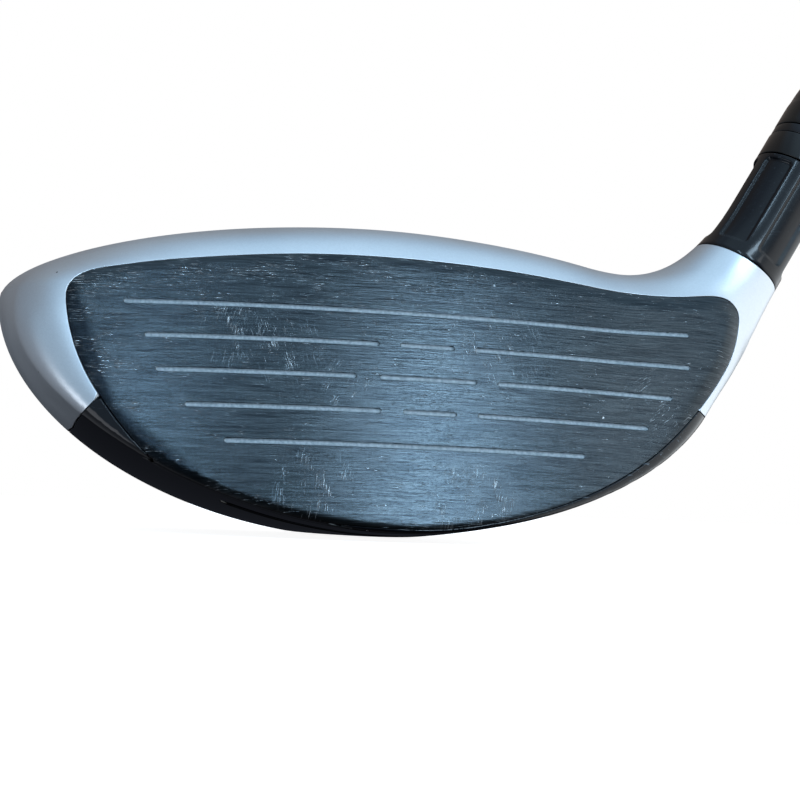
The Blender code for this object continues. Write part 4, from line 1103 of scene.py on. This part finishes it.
def carbon():
    """Clear-coated twill weave: two bundle directions that shine differently."""
    look = Look("carbon_twill", 0.3, 0.25, Coat_Weight=1.0, Coat_Roughness=0.03)
    woven = look.place((500.0, 500.0, 500.0), (0.0, 0.0, 0.79))
    x, y, _ = look.parts(woven)
    column, row = look.math("FLOOR", x), look.math("FLOOR", y)
    step = look.math("FLOORED_MODULO", look.math("ADD", column, row), 4.0)
    over = look.math("LESS_THAN", step, 1.5)
    in_x, in_y = look.math("FRACT", x), look.math("FRACT", y)
    bend_x = look.math("SINE", look.math("MULTIPLY", in_x, math.pi))
    bend_y = look.math("SINE", look.math("MULTIPLY", in_y, math.pi))
    crown = look.node("ShaderNodeMix", {0: over, 2: bend_x, 3: bend_y}, data_type="FLOAT")
    fibre_x = look.noise(look.vectors("MULTIPLY", woven, (1.2, 18.0, 1.2)), 1.0, 1.0)
    fibre_y = look.noise(look.vectors("MULTIPLY", woven, (18.0, 1.2, 1.2)), 1.0, 1.0)
    fibre = look.node("ShaderNodeMix", {0: over, 2: fibre_y, 3: fibre_x}, data_type="FLOAT")
    shade = look.mix(over, (0.016, 0.017, 0.019), (0.050, 0.052, 0.056))
    base = look.mix(look.span(fibre, 0.3, 0.7, 0.0, 0.4), shade, (0.010, 0.010, 0.011))
    look.colour(look.mix(look.span(crown, 0.0, 0.35, 0.8, 0.0), base, (0.006, 0.006, 0.007)))
    look.roughness(look.span(fibre, 0.3, 0.7, 0.26, 0.42))
    height = look.math("ADD", look.math("MULTIPLY", crown, 0.8), look.math("MULTIPLY", fibre, 0.2))
    look.bump(height, 0.00006, 0.5)
    return look.material


def metal(name, tint, roughness, turned=False, mottle=0.25):
    look = Look(name, roughness, 1.0)
    if turned:
        grain = look.noise(look.place((30.0, 9000.0, 1.0), source="UV"), 1.0, 2.0)
    else:
        grain = look.noise(look.place(), 2500.0, 4.0, 0.65)
    cloud = look.noise(look.place(), 160.0, 3.0)
    base = look.mix(look.span(cloud, 0.3, 0.75), tint, tuple(t * (1.0 - mottle) for t in tint))
    look.colour(look.mix(look.span(grain, 0.62, 0.75, 0.0, 0.4), base, tuple(t * 0.5 for t in tint)))
    look.roughness(look.span(look.math("ADD", grain, cloud), 0.7, 1.3, roughness * 0.8, roughness * 1.3))
    look.bump(grain, 0.00002, 0.4)
    return look.material


def plain_stuff(name, tint, roughness, grain_scale, grain_height, variation=0.25, **sockets):
    """Rubber, plastic, glue, foam or paper: mottled colour with its own grain."""
    look = Look(name, roughness, 0.0, **sockets)
    grain = look.noise(look.place(), grain_scale, 4.0, 0.6)
    cloud = look.noise(look.place(), 90.0, 3.0)
    pale = tuple(min(1.0, t * (1.0 + 2 * variation)) for t in tint)
    dark = tuple(t * (1.0 - variation) for t in tint)
    base = look.mix(look.span(cloud, 0.3, 0.7), dark, pale)
    look.colour(look.mix(look.span(grain, 0.60, 0.72, 0.0, 0.35), base, pale))
    look.roughness(look.span(grain, 0.3, 0.7, roughness * 0.85, min(1.0, roughness * 1.12)))
    look.bump(grain, grain_height, 0.6)
    return look.material


def shaft_paint():
    """Satin black paint over wound fibre, with pale rings near the grip and near the head."""
    look = Look("shaft_paint_satin", 0.22, 0.15, Coat_Weight=0.8, Coat_Roughness=0.06)
    along = look.place((1.0, 1.0, 1.0), source="UV")
    x, y, _ = look.parts(along)
    winding = look.math("SINE", look.math("MULTIPLY_ADD", x, 900.0, look.math("MULTIPLY", y, 1500.0)))
    grain = look.noise(look.place((3000.0, 160.0, 1.0), source="UV"), 1.0, 3.0)
    cloud = look.noise(look.place(), 30.0, 3.0)
    base = look.mix(look.span(cloud, 0.3, 0.7), (0.012, 0.0125, 0.014), (0.022, 0.023, 0.026))
    base = look.mix(look.span(winding, 0.2, 1.0, 0.0, 0.25), base, (0.045, 0.047, 0.052))
    rings = 0.0
    for centre, width in ((0.780, 0.0022), (0.775, 0.0008), (0.0755, 0.0012)):
        gap = look.math("ABSOLUTE", look.math("SUBTRACT", y, centre))
        rings = look.math("MAXIMUM", rings, look.span(gap, width / 2, width / 2 - 0.0001))
    look.colour(look.mix(rings, base, (0.42, 0.44, 0.46)))
    look.roughness(look.span(look.math("ADD", grain, cloud), 0.6, 1.3, 0.16, 0.34))
    look.bump(look.math("ADD", grain, look.math("MULTIPLY", rings, 1.5)), 0.00001, 0.4)
    return look.material


def make_looks():
    return {
        "face_steel": face_steel(),
        "groove_paint": groove_paint(),
        "silver_paint": silver_paint(),
        "gloss_black": gloss_black("gloss_black_sole", (0.002, 0.003, 0.005), 0.05, 0.25, 1.0),
        "hosel_black": gloss_black("gloss_black_hosel", (0.002, 0.0025, 0.004), 0.14, 0.22, 0.15),
        "carbon": carbon(),
        "raw_steel": metal("raw_steel_machined", (0.45, 0.46, 0.47), 0.34, turned=True),
        "cast_steel": metal("raw_steel_cast", (0.42, 0.43, 0.44), 0.5),
        "weight_steel": metal("weight_steel_cast", (0.30, 0.31, 0.32), 0.5, mottle=0.35),
        "weight_alloy": metal("weight_alloy_turned", (0.55, 0.56, 0.58), 0.26, turned=True),
        "trim_metal": metal("trim_metal_dark", (0.055, 0.056, 0.060), 0.2, turned=True),
        "brass": metal("brass_turned", (0.62, 0.44, 0.18), 0.3),
        "slot_rubber": plain_stuff("slot_rubber_moulded", (0.018, 0.018, 0.020), 0.6, 1600.0, 0.00006),
        "washer_rubber": plain_stuff("washer_rubber_moulded", (0.02, 0.02, 0.02), 0.75, 1800.0, 0.00005),
        "ferrule_plastic": plain_stuff("ferrule_plastic_gloss", (0.004, 0.0038, 0.0036), 0.12, 500.0,
                                       0.000012, Specular_IOR_Level=0.3, Coat_Weight=0.2,
                                       Coat_Roughness=0.05),
        "grip_rubber": plain_stuff("grip_rubber_moulded", (0.020, 0.020, 0.022), 0.68, 1500.0, 0.00012),
        "cap_rubber": plain_stuff("cap_rubber_moulded", (0.022, 0.022, 0.024), 0.6, 1300.0, 0.00008),
        "hot_melt": plain_stuff("hot_melt_glue", (0.62, 0.45, 0.20), 0.35, 300.0, 0.0002,
                                Subsurface_Weight=0.2),
        "plug_foam": plain_stuff("plug_foam_cells", (0.55, 0.46, 0.34), 0.9, 2200.0, 0.0002),
        "tape": plain_stuff("tape_paper", (0.70, 0.66, 0.55), 0.8, 2600.0, 0.00004, variation=0.12),
        "shaft_paint": shaft_paint(),
    }


def dress_hidden_nodes(looks):
    """Materials for the inner parts, whose frame solids are kept as they are."""
    inner = {
        "hosel_bore_tube": "raw_steel", "toe_sound_rib": "cast_steel", "heel_sound_rib": "cast_steel",
        "rear_weight_pad": "weight_steel", "toe_hot_melt": "hot_melt", "tip_weight": "brass",
        "tip_plug": "plug_foam", "grip_tape": "tape", "weight_washer": "washer_rubber",
    }
    for node, look in inner.items():
        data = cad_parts[node].data
        data.materials.clear()
        data.materials.append(looks[look])


# --- floor, light and camera ---------------------------------------------------------------------
def build_floor():
    """Large pale disc just under the resting plane."""
    points = [(0.0, 0.0, FLOOR_HEIGHT)]
    for radius in (50.0 * 1.35 ** k for k in range(FLOOR_RINGS)):
        points += [(radius * math.cos(a), radius * math.sin(a), FLOOR_HEIGHT)
                   for a in even_angles(FLOOR_SIDES)]
    sides = [(k, (k + 1) % FLOOR_SIDES) for k in range(FLOOR_SIDES)]
    faces = [(0, 1 + k, 1 + m) for k, m in sides]
    for first in range(1, 1 + (FLOOR_RINGS - 1) * FLOOR_SIDES, FLOOR_SIDES):
        after = first + FLOOR_SIDES
        faces += [(first + k, after + k, after + m, first + m) for k, m in sides]
    look = Look("floor_paper", 1.0, 0.0, Specular_IOR_Level=0.0)
    grain = look.noise(look.place(), 400.0, 2.0)
    look.colour(look.mix(grain, (0.84, 0.84, 0.84), (0.87, 0.87, 0.87)))
    look.set(look.shader, "Emission Color", (1.0, 1.0, 1.0))
    look.set(look.shader, "Emission Strength", 0.92)
    floor = add_mesh("studio_floor", points, faces, [look.material])
    floor.visible_glossy = False
    floor.visible_diffuse = False


def build_world():
    """Soft studio: bright and cool above the front, dull and warm behind, dark below."""
    world = bpy.data.worlds.new("studio")
    world.use_nodes = True
    bpy.context.scene.world = world
    world.node_tree.nodes.clear()
    nodes = Nodes(world.node_tree)
    direction = nodes.node("ShaderNodeTexCoord")

    def soft_span(value, low, high):
        return nodes.node("ShaderNodeMapRange", {"Value": value, "From Min": low, "From Max": high},
                          interpolation_type="SMOOTHSTEP")

    def toward(aim):
        return nodes.vectors("DOT_PRODUCT", direction, Vector(aim).normalized(), output=1)

    ramp = nodes.tree.nodes.new("ShaderNodeValToRGB")
    nodes.set(ramp, 0, soft_span(toward(SKY_AIM), -1.0, 1.0))
    ramp.color_ramp.interpolation = "EASE"
    for _ in SKY_STOPS[2:]:
        ramp.color_ramp.elements.new(0.5)
    for element, (place, tint) in zip(ramp.color_ramp.elements, SKY_STOPS):
        element.position = place
        element.color = (*tint, 1.0)
    sky = nodes.mix(soft_span(nodes.parts(direction)[2], *BELOW_EDGE), ramp.outputs[0], BELOW_TINT)
    for aim, low, high, tint in SIDE_PANELS:
        sky = nodes.mix(soft_span(toward(aim), low, high), sky, tint)

    # The camera itself sees plain white.
    white = 1.0 / SKY_STRENGTH
    shown = nodes.mix(nodes.node("ShaderNodeLightPath"), sky, (white, white, white))
    output = nodes.tree.nodes.new("ShaderNodeOutputWorld")
    nodes.set(output, 0, nodes.node("ShaderNodeBackground", {0: shown, 1: SKY_STRENGTH}))


def add_light(name, azimuth, elevation, width, height, radiance, tint):
    turn, rise = math.radians(azimuth), math.radians(elevation)
    aim = Vector((math.sin(turn) * math.cos(rise), -math.cos(turn) * math.cos(rise), math.sin(rise)))
    data = bpy.data.lights.new(name, "AREA")
    data.shape = "RECTANGLE"
    data.size = 2 * LIGHT_DISTANCE * math.tan(math.radians(width) / 2)
    data.size_y = 2 * LIGHT_DISTANCE * math.tan(math.radians(height) / 2)
    data.energy = radiance * math.pi * data.size * data.size_y
    data.color = tint
    light = bpy.data.objects.new(name, data)
    light.location = Vector(FACE_CENTRE * METRE) + aim * LIGHT_DISTANCE
    light.rotation_euler = aim.to_track_quat("Z", "Y").to_euler()
    light.visible_camera = False
    bpy.context.scene.collection.objects.link(light)


def build_camera():
    data = bpy.data.cameras.new("view")
    data.lens = CAMERA_LENS
    data.sensor_width = 36.0
    data.clip_start = 0.01
    data.clip_end = 50.0
    camera = bpy.data.objects.new("view", data)
    turned = Matrix((CAMERA_RIGHT, CAMERA_UP, CAMERA_BACK)).transposed().to_4x4()
    camera.matrix_world = Matrix.Translation(CAMERA_PLACE) @ turned
    bpy.context.scene.collection.objects.link(camera)
    bpy.context.scene.camera = camera
    bpy.context.scene.view_settings.view_transform = "Standard"


def build_scene():
    looks = make_looks()
    build_camera()
    base = head_surface()
    build_skins(looks, base)
    build_face(looks, base)
    build_hosel(looks)
    build_shaft(looks)
    build_ferrule(looks)
    build_grip(looks)
    build_weight(looks)
    dress_hidden_nodes(looks)
    build_floor()
    build_world()
    for light in LIGHTS:
        add_light(*light)


build_scene()
